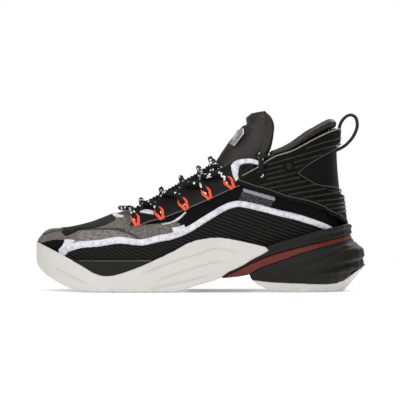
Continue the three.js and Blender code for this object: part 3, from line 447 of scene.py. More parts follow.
def outline_prism(outline):
    """A side-view outline as a body right through the shoe."""
    n = len(outline)
    ring = np.stack([outline[:, 0], np.zeros(n), outline[:, 1]], -1)
    verts = (np.vstack([ring + [0, -CUTTER_HALF, 0], ring + [0, CUTTER_HALF, 0]]) + SHIFT) * MM
    faces = ring_faces(2, n, poles=False) + [list(range(n)), [k + n for k in reversed(range(n))]]
    made = mesh_piece("cutter", verts, faces, shade=False)
    bm = bmesh.new()
    bm.from_mesh(made.data)
    bmesh.ops.recalc_face_normals(bm, faces=bm.faces)
    bm.to_mesh(made.data)
    bm.free()
    return made


def cut(obj, cutter):
    modifier = obj.modifiers.new("cut", "BOOLEAN")
    modifier.operation = "DIFFERENCE"
    modifier.solver = "MANIFOLD"
    modifier.object = cutter
    settled(obj)
    bpy.data.objects.remove(cutter)
    return obj


def moulded(name, node, voxel, passes, shape=None):
    """A moulded part: the node's solid, softened by pairs of shrink and swell steps, then shaped."""
    made = welded(linked(name, NODES[node].data.copy()))
    modifier = made.modifiers.new("remesh", "REMESH")
    modifier.mode = "VOXEL"
    modifier.voxel_size = voxel
    modifier.adaptivity = 0
    settled(made)
    mesh = made.data
    count = len(mesh.vertices)
    co = np.zeros(count * 3)
    mesh.vertices.foreach_get("co", co)
    co = co.reshape(-1, 3)
    edges = np.zeros(len(mesh.edges) * 2, int)
    mesh.edges.foreach_get("vertices", edges)
    edges = edges.reshape(-1, 2)
    degree = np.bincount(edges.ravel(), minlength=count)[:, None].clip(1)
    for step in range(2 * passes):
        total = np.stack([np.bincount(edges[:, 0], co[edges[:, 1], k], count)
                          + np.bincount(edges[:, 1], co[edges[:, 0], k], count) for k in range(3)], -1)
        co = co + (total / degree - co) * (SWELL_STEP if step % 2 else SHRINK_STEP)
    mesh.vertices.foreach_set("co", co.ravel())
    mesh.update()
    if shape:
        normal = np.zeros(count * 3, np.float32)
        mesh.vertex_normals.foreach_get("vector", normal)
        co = shape(co / MM - SHIFT, normal.reshape(-1, 3).astype(float))
        co = (co + SHIFT) * MM
    co[:, 2] = np.maximum(co[:, 2], 0)
    mesh.vertices.foreach_set("co", co.ravel())
    rounded(mesh)
    mesh.update()
    return made


def finished(obj, body, slot, material, *nodes):
    """Gives a piece its material, its body, its slot and the nodes that it stands for."""
    obj.data.materials.clear()
    for m in material if isinstance(material, (list, tuple)) else [material]:
        obj.data.materials.append(m)
    if body:
        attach(obj, body)
    if nodes:
        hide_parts(*nodes)
    return obj


# ------------------------------------------------------------------ finishes
def opaque(colour):
    return tuple(colour) + (1.0,)


def rgb(r, g, b):
    """A colour given by its display values from 0 to 255."""
    return opaque(c / 255 / 12.92 if c <= 10 else ((c / 255 + 0.055) / 1.055) ** 2.4 for c in (r, g, b))


class Value:
    """A socket of a material's nodes, for use in Python expressions."""

    def __init__(self, finish, socket):
        self.finish, self.socket = finish, socket

    def __add__(self, other):
        return self.finish.math("ADD", self, other)

    def __sub__(self, other):
        return self.finish.math("SUBTRACT", self, other)

    def __rsub__(self, other):
        return self.finish.math("SUBTRACT", other, self)

    def __mul__(self, other):
        return self.finish.math("MULTIPLY", self, other)

    def __gt__(self, other):
        return self.finish.math("GREATER_THAN", self, other)

    def __lt__(self, other):
        return self.finish.math("LESS_THAN", self, other)

    __radd__, __rmul__ = __add__, __mul__


class Finish:
    """A procedural material while it is being made."""

    def __init__(self, name, roughness=0.5, **constants):
        self.material = bpy.data.materials.new(name)
        self.material.use_nodes = True
        self.tree = self.material.node_tree
        self.shader = self.tree.nodes["Principled BSDF"]
        self.shader.inputs["Roughness"].default_value = roughness
        for key, value in constants.items():
            self.shader.inputs[key.replace("_", " ")].default_value = value

    def node(self, kind, settings=None, values=None):
        """Adds a node: its settings first, then the values or links of its sockets."""
        made = self.tree.nodes.new(kind)
        for key, value in (settings or {}).items():
            setattr(made, key, value)
        for key, value in (values or {}).items():
            if isinstance(value, Value):
                self.tree.links.new(value.socket, made.inputs[key])
            else:
                made.inputs[key].default_value = value
        return made

    def out(self, node, key=0):
        return Value(self, node.outputs[key])

    def math(self, operation, a, b=0.0):
        return self.out(self.node("ShaderNodeMath", {"operation": operation}, {0: a, 1: b}))

    def place(self):
        return self.out(self.node("ShaderNodeTexCoord"), "Object")

    def axes(self, vector):
        parts = self.node("ShaderNodeSeparateXYZ", values={0: vector})
        return [self.out(parts, k) for k in range(3)]

    def pattern(self):
        """The place along and across a piece's own pattern."""
        return self.axes(self.out(self.node("ShaderNodeUVMap", {"uv_map": "pattern"})))[:2]

    def mark(self, name):
        return self.out(self.node("ShaderNodeAttribute", {"attribute_name": name}), "Fac")

    def noise(self, vector, scale, detail=2.0, roughness=0.5):
        values = {"Vector": vector, "Scale": scale, "Detail": detail, "Roughness": roughness}
        return self.out(self.node("ShaderNodeTexNoise", values=values), 0)

    def cells(self, vector, scale, feature="F1"):
        values = {"Vector": vector, "Scale": scale}
        return self.out(self.node("ShaderNodeTexVoronoi", {"feature": feature}, values), "Distance")

    def ramp(self, value, low, high, to_low=0.0, to_high=1.0):
        values = {"Value": value, "From Min": low, "From Max": high, "To Min": to_low, "To Max": to_high}
        return self.out(self.node("ShaderNodeMapRange", {"interpolation_type": "SMOOTHSTEP"}, values))

    def wave(self, value, turns):
        """A sine of a value that makes so many turns per unit, from 0 to 1."""
        return self.math("SINE", value * (2 * math.pi * turns)) * 0.5 + 0.5

    def mix(self, share, a, b):
        """Colour a where share is 0 and b where it is 1."""
        return self.out(self.node("ShaderNodeMix", {"data_type": "RGBA"}, {0: share, 6: a, 7: b}), 2)

    def bumped(self, height, distance, strength):
        values = {"Height": height, "Distance": distance, "Strength": strength}
        made = self.node("ShaderNodeBump", values=values)
        self.tree.links.new(made.outputs[0], self.shader.inputs["Normal"])

    def done(self, colour=None, roughness=None):
        for key, value in (("Base Color", colour), ("Roughness", roughness)):
            if isinstance(value, Value):
                self.tree.links.new(value.socket, self.shader.inputs[key])
            elif value is not None:
                self.shader.inputs[key].default_value = value
        return self.material


def darker(colour, share):
    return opaque(c * share for c in colour[:3])


def rubber_finish(colours):
    f = Finish("white_rubber_finish", Specular_IOR_Level=0.4)
    place = f.place()
    z = f.axes(place)[2]
    cloud = f.noise(place, 35, 3)
    grain = f.noise(place, 1500, 2)
    # Mottled darker band within 6 mm of the ground, mixed towards a warm grey.
    near_ground_darkening = f.ramp(z, 0.0, 0.006, 1, 0) * f.ramp(f.noise(place, 220, 4), 0.45, 0.7)
    colour = f.mix(cloud, opaque(colours.rubber), darker(colours.rubber, 0.9))
    colour = f.mix(near_ground_darkening * 0.45, colour, rgb(150, 146, 138))
    f.bumped(grain * 0.6 + f.noise(place, 420, 2) * 0.5, 0.00012, 0.6)
    return f.done(colour, f.ramp(cloud, 0.3, 0.7, 0.42, 0.55) + grain * 0.06)


def foam_finish(colours):
    f = Finish("black_foam_finish", Specular_IOR_Level=0.2)
    place = f.place()
    x, y, z = f.axes(place)
    cloud = f.noise(place, 60, 3)
    grain = f.noise(place, 1800, 2)
    line = f.ramp(f.math("ABSOLUTE", z - 0.0292), 0.0004, 0.0009, 1, 0)
    line = line * (x > -0.108) * (x < -0.041) * (f.math("ABSOLUTE", y) > 0.03)
    colour = f.mix(cloud, opaque(colours.foam), rgb(24, 23, 21))
    colour = f.mix(line * 0.85, colour, rgb(104, 101, 96))
    f.bumped(grain + f.cells(place, 900) * 0.4, 0.0001, 0.5)
    return f.done(colour, f.ramp(cloud, 0.3, 0.7, 0.42, 0.58))


def plate_finish(colours):
    f = Finish("shank_finish", Specular_IOR_Level=0.25)
    place = f.place()
    fibres = f.noise(place, 500, 4, 0.7)
    cloud = f.noise(place, 90, 3)
    colour = f.mix(cloud, opaque(colours.plate), rgb(88, 38, 28))
    colour = f.mix(f.ramp(fibres, 0.5, 0.75) * 0.4, colour, rgb(56, 18, 12))
    f.bumped(fibres, 0.0001, 0.5)
    return f.done(colour, f.ramp(fibres, 0.3, 0.7, 0.34, 0.5))


def stitches_of(f, along, up, per_unit):
    """Height of a knit: rows of small V stitches."""
    column = f.math("FRACT", along * per_unit)
    lean = f.math("ABSOLUTE", column - 0.5)
    row = f.wave(up * per_unit + lean * 0.9, 1)
    return row * f.math("SINE", column * math.pi)


def knit_finish(colours):
    f = Finish("knit_finish", Specular_IOR_Level=0.1)
    along, up = f.pattern()
    place = f.place()
    stitch = stitches_of(f, along, up, 6.5)
    heather = f.noise(place, 850, 3, 0.7)
    blotch = f.noise(place, 160, 3, 0.6)
    grey = f.mark("grey")
    camo = f.ramp(grey + (blotch - 0.5) * 0.9, 0.42, 0.6)
    yarn = f.mix(f.ramp(heather, 0.38, 0.66), rgb(50, 47, 45), rgb(134, 128, 124))
    scales = f.wave(along * 0.55 + f.wave(up + along * 0.5, 1.1) * 0.42, 2.4) * f.mark("lens")
    yarn = f.mix(stitch * 0.45, yarn, rgb(150, 143, 139))
    yarn = f.mix(scales * 0.4, yarn, rgb(170, 160, 156))
    black = f.mix(stitch, rgb(4, 4, 4), opaque(colours.knit))
    colour = f.mix(camo, black, yarn)
    patch_yarn = f.mix(f.ramp(heather, 0.4, 0.62), rgb(26, 27, 29), rgb(84, 86, 90))
    colour = f.mix(f.ramp(f.mark("patch") + (blotch - 0.5) * 0.5, 0.42, 0.56), colour, patch_yarn)
    strip = f.mark("strip")
    colour = f.mix(f.ramp(strip + (heather - 0.5) * 0.8, 0.42, 0.58), colour, rgb(150, 150, 160))
    seam_line = f.mark("seam")
    colour = f.mix(seam_line * 0.8, colour, rgb(38, 36, 35))
    f.bumped(stitch * 0.9 + heather * 0.5 + scales * 1.4 - seam_line * 2.0, 0.00032, 0.8)
    return f.done(colour, f.ramp(heather, 0.3, 0.7, 0.75, 0.92))


def textile_finish():
    f = Finish("ribbed_textile_finish", Specular_IOR_Level=0.1)
    along, up = f.pattern()
    rib = f.mark("rib")
    weave = f.wave(along, 14) * f.wave(up, 14)
    cloud = f.noise(f.place(), 120, 3)
    # Painted highlight on the rib crests and painted shade in the grooves between them.
    colour = f.mix(f.ramp(rib, 0.45, 1), rgb(2, 2, 2), rgb(34, 34, 33))
    colour = f.mix(cloud * 0.3, colour, rgb(8, 8, 8))
    f.bumped(weave * 0.5 + rib * 0.8, 0.0003, 0.7)
    return f.done(colour, 0.62 - rib * 0.14)


def film_finish(name, colour, roughness, grain=1400.0):
    f = Finish(name, Specular_IOR_Level=0.12)
    place = f.place()
    cloud = f.noise(place, 70, 3)
    fine = f.noise(place, grain, 2)
    edge = f.mark("edge")
    worn = f.ramp(edge, 0.02, 0.25, 1, 0) * f.ramp(f.noise(place, 300, 3), 0.35, 0.7)
    tone = f.mix(cloud, colour, darker(colour, 0.6))
    tone = f.mix(worn * 0.25, tone, rgb(58, 58, 59))
    f.bumped(fine + f.cells(place, 700) * 0.4, 0.0001, 0.5)
    return f.done(tone, f.ramp(cloud, 0.3, 0.7, roughness - 0.06, roughness + 0.08))


def shell_finish(colours):
    f = Finish("moulded_shell_finish", Specular_IOR_Level=0.08)
    place = f.place()
    cloud = f.noise(place, 80, 3)
    grain = f.cells(place, 1300)
    colour = f.mix(cloud, opaque(colours.shell), rgb(12, 12, 10))
    f.bumped(grain * 0.6 + f.noise(place, 2200, 2) * 0.5, 0.00012, 0.55)
    return f.done(colour, f.ramp(cloud, 0.3, 0.7, 0.4, 0.54))


def trim_finish(colours):
    f = Finish("crinkled_trim_finish", Sheen_Weight=0.1, Specular_IOR_Level=0.3)
    along, up = f.pattern()
    place = f.place()
    crease = f.cells(place, 330, "DISTANCE_TO_EDGE")
    weave = f.wave(along + up, 11) * f.wave(along - up, 11)
    cloud = f.noise(place, 260, 4, 0.65)
    colour = f.mix(f.ramp(cloud, 0.4, 0.68), opaque(colours.trim), rgb(188, 186, 196))
    # Painted shade in the crinkle creases: grey-lavender lines along the cell edges.
    colour = f.mix(f.ramp(crease, 0.0, 0.1, 0.35, 0), colour, rgb(168, 165, 182))
    f.bumped(f.ramp(crease, 0.0, 0.2) + weave * 0.35 + cloud * 0.6, 0.0003, 0.6)
    return f.done(colour, f.ramp(cloud, 0.3, 0.7, 0.6, 0.8))


def leather_finish(colours):
    f = Finish("padded_leather_finish", Specular_IOR_Level=0.45)
    place = f.place()
    grain = f.cells(place, 950, "DISTANCE_TO_EDGE")
    pores = f.noise(place, 2600, 2)
    cloud = f.noise(place, 45, 3)
    colour = f.mix(cloud, opaque(colours.leather), rgb(30, 26, 22))
    colour = f.mix(f.ramp(grain, 0.0, 0.12, 0.4, 0), colour, rgb(8, 7, 6))
    f.bumped(f.ramp(grain, 0.0, 0.2) * 0.7 + pores * 0.4, 0.00014, 0.6)
    return f.done(colour, f.ramp(cloud, 0.3, 0.7, 0.32, 0.42))


def tongue_rib_finish():
    f = Finish("tongue_rib_finish", Specular_IOR_Level=0.12)
    along, up = f.pattern()
    stitch = stitches_of(f, up, along, 9)
    heather = f.noise(f.place(), 900, 3)
    # Painted highlight on the rib crests and painted shade in the grooves between them.
    colour = f.mix(f.ramp(f.mark("rib"), 0.5, 1), rgb(3, 3, 3), rgb(34, 33, 32))
    colour = f.mix(heather * 0.3, colour, rgb(10, 10, 10))
    f.bumped(stitch + heather * 0.4, 0.00025, 0.7)
    return f.done(colour, f.ramp(heather, 0.3, 0.7, 0.74, 0.9))


def fabric_finish(name, colour, per_unit, roughness=0.85):
    """A plain woven or brushed cloth that follows the piece's pattern."""
    f = Finish(name, Sheen_Weight=0.2, Specular_IOR_Level=0.3)
    along, up = f.pattern()
    weave = f.wave(along, per_unit) * f.wave(up, per_unit)
    fuzz = f.noise(f.place(), 1300, 3, 0.7)
    tone = f.mix(f.ramp(weave * 0.6 + fuzz * 0.6, 0.2, 0.9), darker(colour, 0.45), colour)
    f.bumped(weave + fuzz * 0.8, 0.0003, 0.7)
    return f.done(tone, f.ramp(fuzz, 0.3, 0.7, roughness - 0.08, roughness + 0.06))


def solid_fabric_finish(name, colour, scale):
    """Board, foam or a moulded cloth, patterned by place."""
    f = Finish(name, Sheen_Weight=0.15, Specular_IOR_Level=0.3)
    place = f.place()
    fuzz = f.noise(place, scale, 4, 0.7)
    cell = f.cells(place, scale * 1.2)
    tone = f.mix(f.ramp(fuzz, 0.3, 0.7), darker(colour, 0.6), colour)
    f.bumped(fuzz + cell * 0.6, 0.00035, 0.7)
    return f.done(tone, f.ramp(fuzz, 0.3, 0.7, 0.8, 0.94))


def lace_finish(colours):
    f = Finish("lace_finish", Specular_IOR_Level=0.25)
    along, around = f.pattern()
    one = along * 3.1 + around * 4
    other = along * 3.1 - around * 4
    strand = f.math("SINE", f.math("FRACT", one) * math.pi) * f.math("SINE", f.math("FRACT", other) * math.pi)
    cell = f.node("ShaderNodeCombineXYZ", values={0: f.math("FLOOR", one), 1: f.math("FLOOR", other)})
    pick = f.node("ShaderNodeTexWhiteNoise", {"noise_dimensions": "2D"}, {"Vector": f.out(cell)})
    fleck = (f.out(pick, "Value") > 0.83) * f.ramp(strand, 0.05, 0.25)
    black = f.mix(strand, rgb(3, 3, 3), opaque(colours.lace))
    f.bumped(strand + f.noise(f.place(), 2500, 2) * 0.25, 0.00045, 0.9)
    return f.done(f.mix(fleck, black, opaque(colours.fleck)), 0.72)


def loop_finish(colours):
    f = Finish("loop_cord_finish", Sheen_Weight=0.1, Specular_IOR_Level=0.4)
    along, around = f.pattern()
    strand = f.math("SINE", f.math("FRACT", along * 6 + around * 3) * math.pi)
    wear = f.noise(f.place(), 120, 2)
    colour = f.mix(strand * 0.8 + wear * 0.2, darker(colours.loops, 0.6), opaque(colours.loops))
    f.bumped(strand, 0.0002, 0.7)
    return f.done(colour, 0.55)


def aglet_finish():
    f = Finish("aglet_finish", Coat_Weight=0.6, Coat_Roughness=0.12)
    along = f.pattern()[0]
    wrap = f.noise(f.place(), 600, 2)
    f.bumped(f.wave(along, 6) * 0.3 + wrap, 0.0001, 0.4)
    return f.done(f.mix(wrap, rgb(16, 16, 17), rgb(40, 40, 42)), f.ramp(wrap, 0.3, 0.7, 0.22, 0.36))


def badge_finish(colours):
    f = Finish("badge_finish", Metallic=0.85)
    place = f.place()
    brushed = f.noise(place, 900, 3)
    cloud = f.noise(place, 120, 2)
    f.bumped(brushed, 0.00005, 0.4)
    return f.done(f.mix(cloud, opaque(colours.badge), rgb(150, 152, 158)), f.ramp(brushed, 0.3, 0.7, 0.22, 0.4))


# ------------------------------------------------------------------ geometry nodes
class Tree:
    """A geometry node tree with named inputs."""

    def __init__(self, name, inputs):
        self.group = bpy.data.node_groups.new(name, "GeometryNodeTree")
        face = self.group.interface
        face.new_socket("Geometry", in_out="INPUT", socket_type="NodeSocketGeometry")
        self.keys = {}
        for label, kind, default in inputs:
            socket = face.new_socket(label, in_out="INPUT", socket_type=kind)
            if default is not None:
                socket.default_value = default
            self.keys[label] = socket.identifier
        face.new_socket("Geometry", in_out="OUTPUT", socket_type="NodeSocketGeometry")
        self.start = self.group.nodes.new("NodeGroupInput")
        self.end = self.group.nodes.new("NodeGroupOutput")

    def node(self, kind, settings=None, links=None):
        made = self.group.nodes.new(kind)
        for key, value in (settings or {}).items():
            setattr(made, key, value)
        for key, value in (links or {}).items():
            if isinstance(value, bpy.types.NodeSocket):
                self.group.links.new(value, made.inputs[key])
            else:
                made.inputs[key].default_value = value
        return made

    def given(self, label):
        return self.start.outputs[label]

    def finish(self, geometry):
        whole = self.node("GeometryNodeRealizeInstances", links={0: geometry})
        shaded = self.node("GeometryNodeSetShadeSmooth", links={0: whole.outputs[0]})
        painted = self.node("GeometryNodeSetMaterial",
                            links={0: shaded.outputs[0], "Material": self.given("Material")})
        self.group.links.new(painted.outputs[0], self.end.inputs[0])
        return self

    def apply(self, obj, values):
        modifier = obj.modifiers.new("made", "NODES")
        modifier.node_group = self.group
        for label, value in values.items():
            modifier[self.keys[label]] = value
        return settled(obj)


def sweep_tree():
    """Follows each line with a thin round cord."""
    tree = Tree("Cord along lines", [
        ("Radius", "NodeSocketFloat", 0.0008), ("Material", "NodeSocketMaterial", None)])
    line = tree.node("GeometryNodeMeshToCurve", links={0: tree.given("Geometry")})
    ring = tree.node("GeometryNodeCurvePrimitiveCircle",
                     links={"Resolution": 8, "Radius": tree.given("Radius")})
    swept = tree.node("GeometryNodeCurveToMesh",
                      links={0: line.outputs[0], 1: ring.outputs[0], "Fill Caps": True})
    return tree.finish(swept.outputs[0])


def stitch_tree():
    """Sets a thread stitch at every pitch along each line."""
    tree = Tree("Stitches along lines", [
        ("Pitch", "NodeSocketFloat", 0.0026), ("Stitch length", "NodeSocketFloat", 0.0018),
        ("Thread radius", "NodeSocketFloat", 0.0003), ("Seed", "NodeSocketInt", 7),
        ("Material", "NodeSocketMaterial", None)])
    line = tree.node("GeometryNodeMeshToCurve", links={0: tree.given("Geometry")})
    spots = tree.node("GeometryNodeCurveToPoints", {"mode": "LENGTH"},
                      {0: line.outputs[0], "Length": tree.given("Pitch")})
    bead = tree.node("GeometryNodeMeshUVSphere", links={"Segments": 6, "Rings": 5, "Radius": 1.0})
    half = tree.node("ShaderNodeMath", {"operation": "MULTIPLY"}, {0: tree.given("Stitch length"), 1: 0.5})
    radius = tree.given("Thread radius")
    size = tree.node("ShaderNodeCombineXYZ", links={0: radius, 1: radius, 2: half.outputs[0]})
    thread = tree.node("GeometryNodeTransform", links={0: bead.outputs[0], "Scale": size.outputs[0]})
    vary = tree.node("FunctionNodeRandomValue", {"data_type": "FLOAT"},
                     {2: 0.9, 3: 1.08, "Seed": tree.given("Seed")})
    set_on = tree.node("GeometryNodeInstanceOnPoints", links={
        0: spots.outputs[0], "Instance": thread.outputs[0], "Rotation": spots.outputs["Rotation"],
        "Scale": vary.outputs[1]})
    return tree.finish(set_on.outputs[0])


def lines_object(name, lines):
    """Polylines in frame metres as one mesh of edges."""
    verts, edges = [], []
    for line in lines:
        start = len(verts)
        verts.extend(np.asarray(line).tolist())
        edges.extend([start + k, start + k + 1] for k in range(len(line) - 1))
    mesh = bpy.data.meshes.new(name)
    mesh.from_pydata(verts, edges, [])
    return linked(name, mesh)


def corded(name, lines, radius, paint, slot):
    """Lines as a thin round cord, one fixed piece of the shoe."""
    cord = lines_object(name, lines)
    sweep_tree().apply(cord, {"Radius": radius, "Material": paint})
    return finished(cord, "shoe", slot, paint)


# ------------------------------------------------------------------ settings
def length_setting(name, description, default, precision=4):
    return bpy.props.FloatProperty(
        name=name, description=description, default=default, unit="LENGTH", precision=precision)


class HighTopSizes(bpy.types.PropertyGroup):
    """Sizes that a maker would change."""
    lace_radius: length_setting("Lace radius", "Half the thickness of the lace", LACE_RADIUS * MM)
    rib_pitch: length_setting("Shell rib pitch", "Height from one rib of the ankle shell to the next", 0.0038)
    rib_radius: length_setting("Shell rib radius", "Half the thickness of a rib", 0.00075, 5)
    textile_pitch: length_setting("Side rib pitch", "From one rib of the side panel to the next", 0.0027)
    accordion_pitch: length_setting("Tongue rib pitch", "From one rib of the tongue to the next", 0.0033)
    stitch_pitch: length_setting("Stitch pitch", "From one stitch to the next", 0.0027)
    thread_radius: length_setting("Thread radius", "Half the thickness of the sewing thread", 0.00028, 5)
    tread_depth: length_setting("Tread depth", "Depth of the grooves under the sole", 0.0011)


def colour_setting(name, description, *display):
    return bpy.props.FloatVectorProperty(
        name=name, description=description, subtype="COLOR", size=3, min=0, max=1, default=rgb(*display)[:3])


class HighTopColours(bpy.types.PropertyGroup):
    """Colours that a maker would change."""
    rubber: colour_setting("Rubber", "Outsole rubber", 205, 202, 198)
    foam: colour_setting("Foam", "Carrier and heel pod", 15, 14, 13)
    plate: colour_setting("Plate", "Shank plate", 104, 30, 18)
    knit: colour_setting("Knit", "Dark yarn of the upper", 22, 22, 23)
    shell: colour_setting("Shell", "Ankle shell", 7, 7, 6)
    trim: colour_setting("Trim", "Crinkled piping and patches", 226, 225, 229)
    leather: colour_setting("Leather", "Tongue top and collar", 19, 16, 13)
    lace: colour_setting("Lace", "Dark strands of the lace", 18, 18, 19)
    fleck: colour_setting("Fleck", "Light flecks of the lace", 236, 236, 236)
    loops: colour_setting("Loops", "Lace loops", 250, 88, 52)
    badge: colour_setting("Badge", "Keeper on the tongue", 208, 209, 214)


# ------------------------------------------------------------------ stage
VIEW_WIDTH = 0.3648  # metres of the shoe's plane that the camera takes in
TARGET = Vector((0.0002, 0.0, 0.0827))
LENS = 300.0
SENSOR = 36.0
ELEVATION = math.radians(0.7)
FLOOR = [[-1.6, -1.8, 0], [1.6, -1.8, 0], [1.6, 0.7, 0], [-1.6, 0.7, 0]]
ROOM_LIGHT = 0.34
LIGHTS = (  # name, place, size and power of the soft lights
    ("key", (-0.5, -1.3, 1.5), 1.3, 15), ("top", (0.25, 0.1, 1.7), 1.4, 15),
    ("front", (0.5, -2.2, 0.55), 1.2, 6),
    ("rim", (0.9, 1.4, 1.0), 1.0, 8), ("low", (-1.2, -1.2, 0.35), 0.8, 3),
)


def aimed(obj, way):
    """Turns a camera or a light to look along a direction."""
    obj.rotation_mode = "QUATERNION"
    obj.rotation_quaternion = way.to_track_quat("-Z", "Y")
    bpy.context.scene.collection.objects.link(obj)


def make_stage(scene):
    distance = VIEW_WIDTH * LENS / SENSOR
    back = Vector((0.0, -math.cos(ELEVATION), math.sin(ELEVATION)))
    camera = bpy.data.objects.new("camera", bpy.data.cameras.new("camera"))
    camera.data.lens, camera.data.sensor_width = LENS, SENSOR
    camera.data.clip_start, camera.data.clip_end = 0.1, 100
    camera.location = TARGET + back * distance
    aimed(camera, -back)
    scene.camera = camera
    scene.view_settings.view_transform = "Standard"

    floor = mesh_piece("floor", FLOOR, [[0, 1, 2, 3]], shade=False)
    f = Finish("floor_paint", 0.9, Specular_IOR_Level=0.1, Emission_Color=(1, 1, 1, 1), Emission_Strength=0.3)
    floor.data.materials.append(f.done(f.mix(f.noise(f.place(), 3), rgb(250, 250, 250), rgb(247, 247, 247))))

    world = bpy.data.worlds.new("studio")
    world.use_nodes = True
    nodes, links = world.node_tree.nodes, world.node_tree.links
    seen = nodes.new("ShaderNodeLightPath")
    strength = nodes.new("ShaderNodeMapRange")
    strength.inputs["To Min"].default_value, strength.inputs["To Max"].default_value = ROOM_LIGHT, 1.0
    links.new(seen.outputs["Is Camera Ray"], strength.inputs["Value"])
    links.new(strength.outputs[0], nodes["Background"].inputs["Strength"])
    nodes["Background"].inputs["Color"].default_value = (1, 1, 1, 1)
    scene.world = world

    for name, place, size, power in LIGHTS:
        light = bpy.data.objects.new(name, bpy.data.lights.new(name, "AREA"))
        light.data.size, light.data.energy = size, power
        light.location = place
        aimed(light, TARGET - light.location)


# ------------------------------------------------------------------ routes of the lace
LOOP_SHIFT = np.array([1.1, -0.7])
LOOP_FEET = np.array([[-57.9, 59], [-35.6, 65.6], [-13.7, 74.6], [7.3, 84.4], [27.8, 94.2]]) + LOOP_SHIFT
LOOP_HEADS = np.array([[-61.1, 68.2], [-39.7, 74.8], [-19.2, 83.4], [1.8, 93.4], [21.4, 103.2]]) + LOOP_SHIFT
LOOP_LIFT = OVERLAY_OUT + LAYER_GAP + LOOP_RADIUS
CROSSINGS = [-71, -52, -33.7, -15.5, 0.9, 12.5]
NEAR_EDGE = 0.985
LACE_OVER = LOOP_LIFT + LOOP_RADIUS + 2 * LAYER_GAP + LACE_RADIUS
LACE_UNDER = -LACE_RADIUS - LAYER_GAP
EYELET = [40.1, 110.5]
SHELL_HOLE = [54.5, 103.5]
LACE_END_LENGTH = 74
LACE_SUNK = -1.1
TONGUE_PUFF = 2.4
AGLET_LENGTH = 20
AGLET_GAP = 0.5
AGLET_TAPER = [0, 0.04, 0.3, 0.94, 1], [0.86, 0.92, 0.86, 0.72, 0.62]
AGLET_STEPS = 40
BRAID_TURNS = 1950
LACE_STEP = 0.62
LACE_FULLNESS, LOOP_FULLNESS = 1.1, 1.3
LATERAL, MEDIAL = np.array([1, 1, 1]), np.array([1, -1, 1])

TONGUE = np.array([
    [-67, 69.5, 7, 6, 0], [-53, 77.5, 13, 14, 0], [-33.7, 88, 18, 22, 1], [-15.5, 98.3, 20.5, 26, 3],
    [0.9, 107.5, 21.5, 26, 8], [12, 116.5, 22, 19, 20], [20, 127.5, 21.5, 6, 39], [31.5, 141.5, 20.5, -4, 34.5],
    [41.5, 154, 19, -3.5, 22.5], [51.3, 163.4, 15, -0.8, 6.5],
])
TONGUE_ROWS = np.vstack([2 * TONGUE[0] - TONGUE[1], TONGUE, 2 * TONGUE[-1] - TONGUE[-2]])
FLEX = 0.625
TONGUE_WALL, TONGUE_FLAP_WALL = 5.0, 7.0
TONGUE_FAN = math.pi / 2.25
KNIT_END = 0.572  # the lip between the ribbed knit and the leather, as a share of the tongue
BADGE_SPOT = 0.76, -0.4


def tongue_point(v, w):
    """A point of the tongue's face: v climbs from its foot to its top, w runs across from -1 to 1."""
    v, w = np.broadcast_arrays(np.asarray(v, float), np.asarray(w, float))
    p = np.clip(v, 0, 1) * (len(TONGUE) - 1)
    i = np.minimum(np.floor(p).astype(int), len(TONGUE) - 2)
    row = cubic(*(TONGUE_ROWS[i + k] for k in range(4)), (p - i)[..., None])
    bow = np.abs(w)
    return np.stack([row[..., 0] + row[..., 4] * bow**2.4,
                     row[..., 2] * np.sin(w * TONGUE_FAN) / math.sin(TONGUE_FAN),
                     row[..., 1] - row[..., 3] * bow**1.8], -1)


def tongue_normal(v, w):
    along = tongue_point(np.minimum(1, v + STEP), w) - tongue_point(np.maximum(0, v - STEP), w)
    across = tongue_point(v, np.minimum(1, w + STEP)) - tongue_point(v, np.maximum(-1, w - STEP))
    return unit(np.cross(along, across))


def on_side(x, z, d):
    return surface(*mark([x, z]), d)


def edge_point(x, d):
    """A point on the lateral edge of the throat, at height d."""
    u = bisect(np.array(3.0), np.array(float(THROAT_FRONT)), lambda v: last_point(v, 1.0)[..., 0] > x)
    return surface(u, NEAR_EDGE, d)


def on_tongue(x, share, lift):
    """A point of the lace where it crosses the tongue."""
    v = bisect(np.array(0.0), np.array(1.0), lambda s: tongue_point(s, share)[..., 0] < x)
    return tongue_point(v, share) * MEDIAL + tongue_normal(v, share) * MEDIAL * (LACE_RADIUS + lift + LACE_SUNK)


def lace_side_points():
    """The points of each row's pass through its loop, on the lateral side."""
    rows = []
    for row, (foot, head) in enumerate(zip(LOOP_FEET, LOOP_HEADS)):
        (hx, hz), (ox, oz), (ix, iz) = (foot + (head - foot) * s for s in (1.12, 0.84, 0.46))
        rows.append([
            on_side(hx - 1.5, hz, LACE_OVER - 0.2), on_side(ox - 0.4, oz, LACE_OVER + 0.7),
            on_side(ix, iz, LOOP_LIFT + 0.2), on_side(ix + 0.8, iz + 1.2, LACE_UNDER - 0.4),
            on_side(head[0] + 4, head[1] + 1.5, LACE_UNDER - 0.5),
            edge_point(CROSSINGS[row + 1] - 1.5, LACE_UNDER - 0.6)])
    return rows


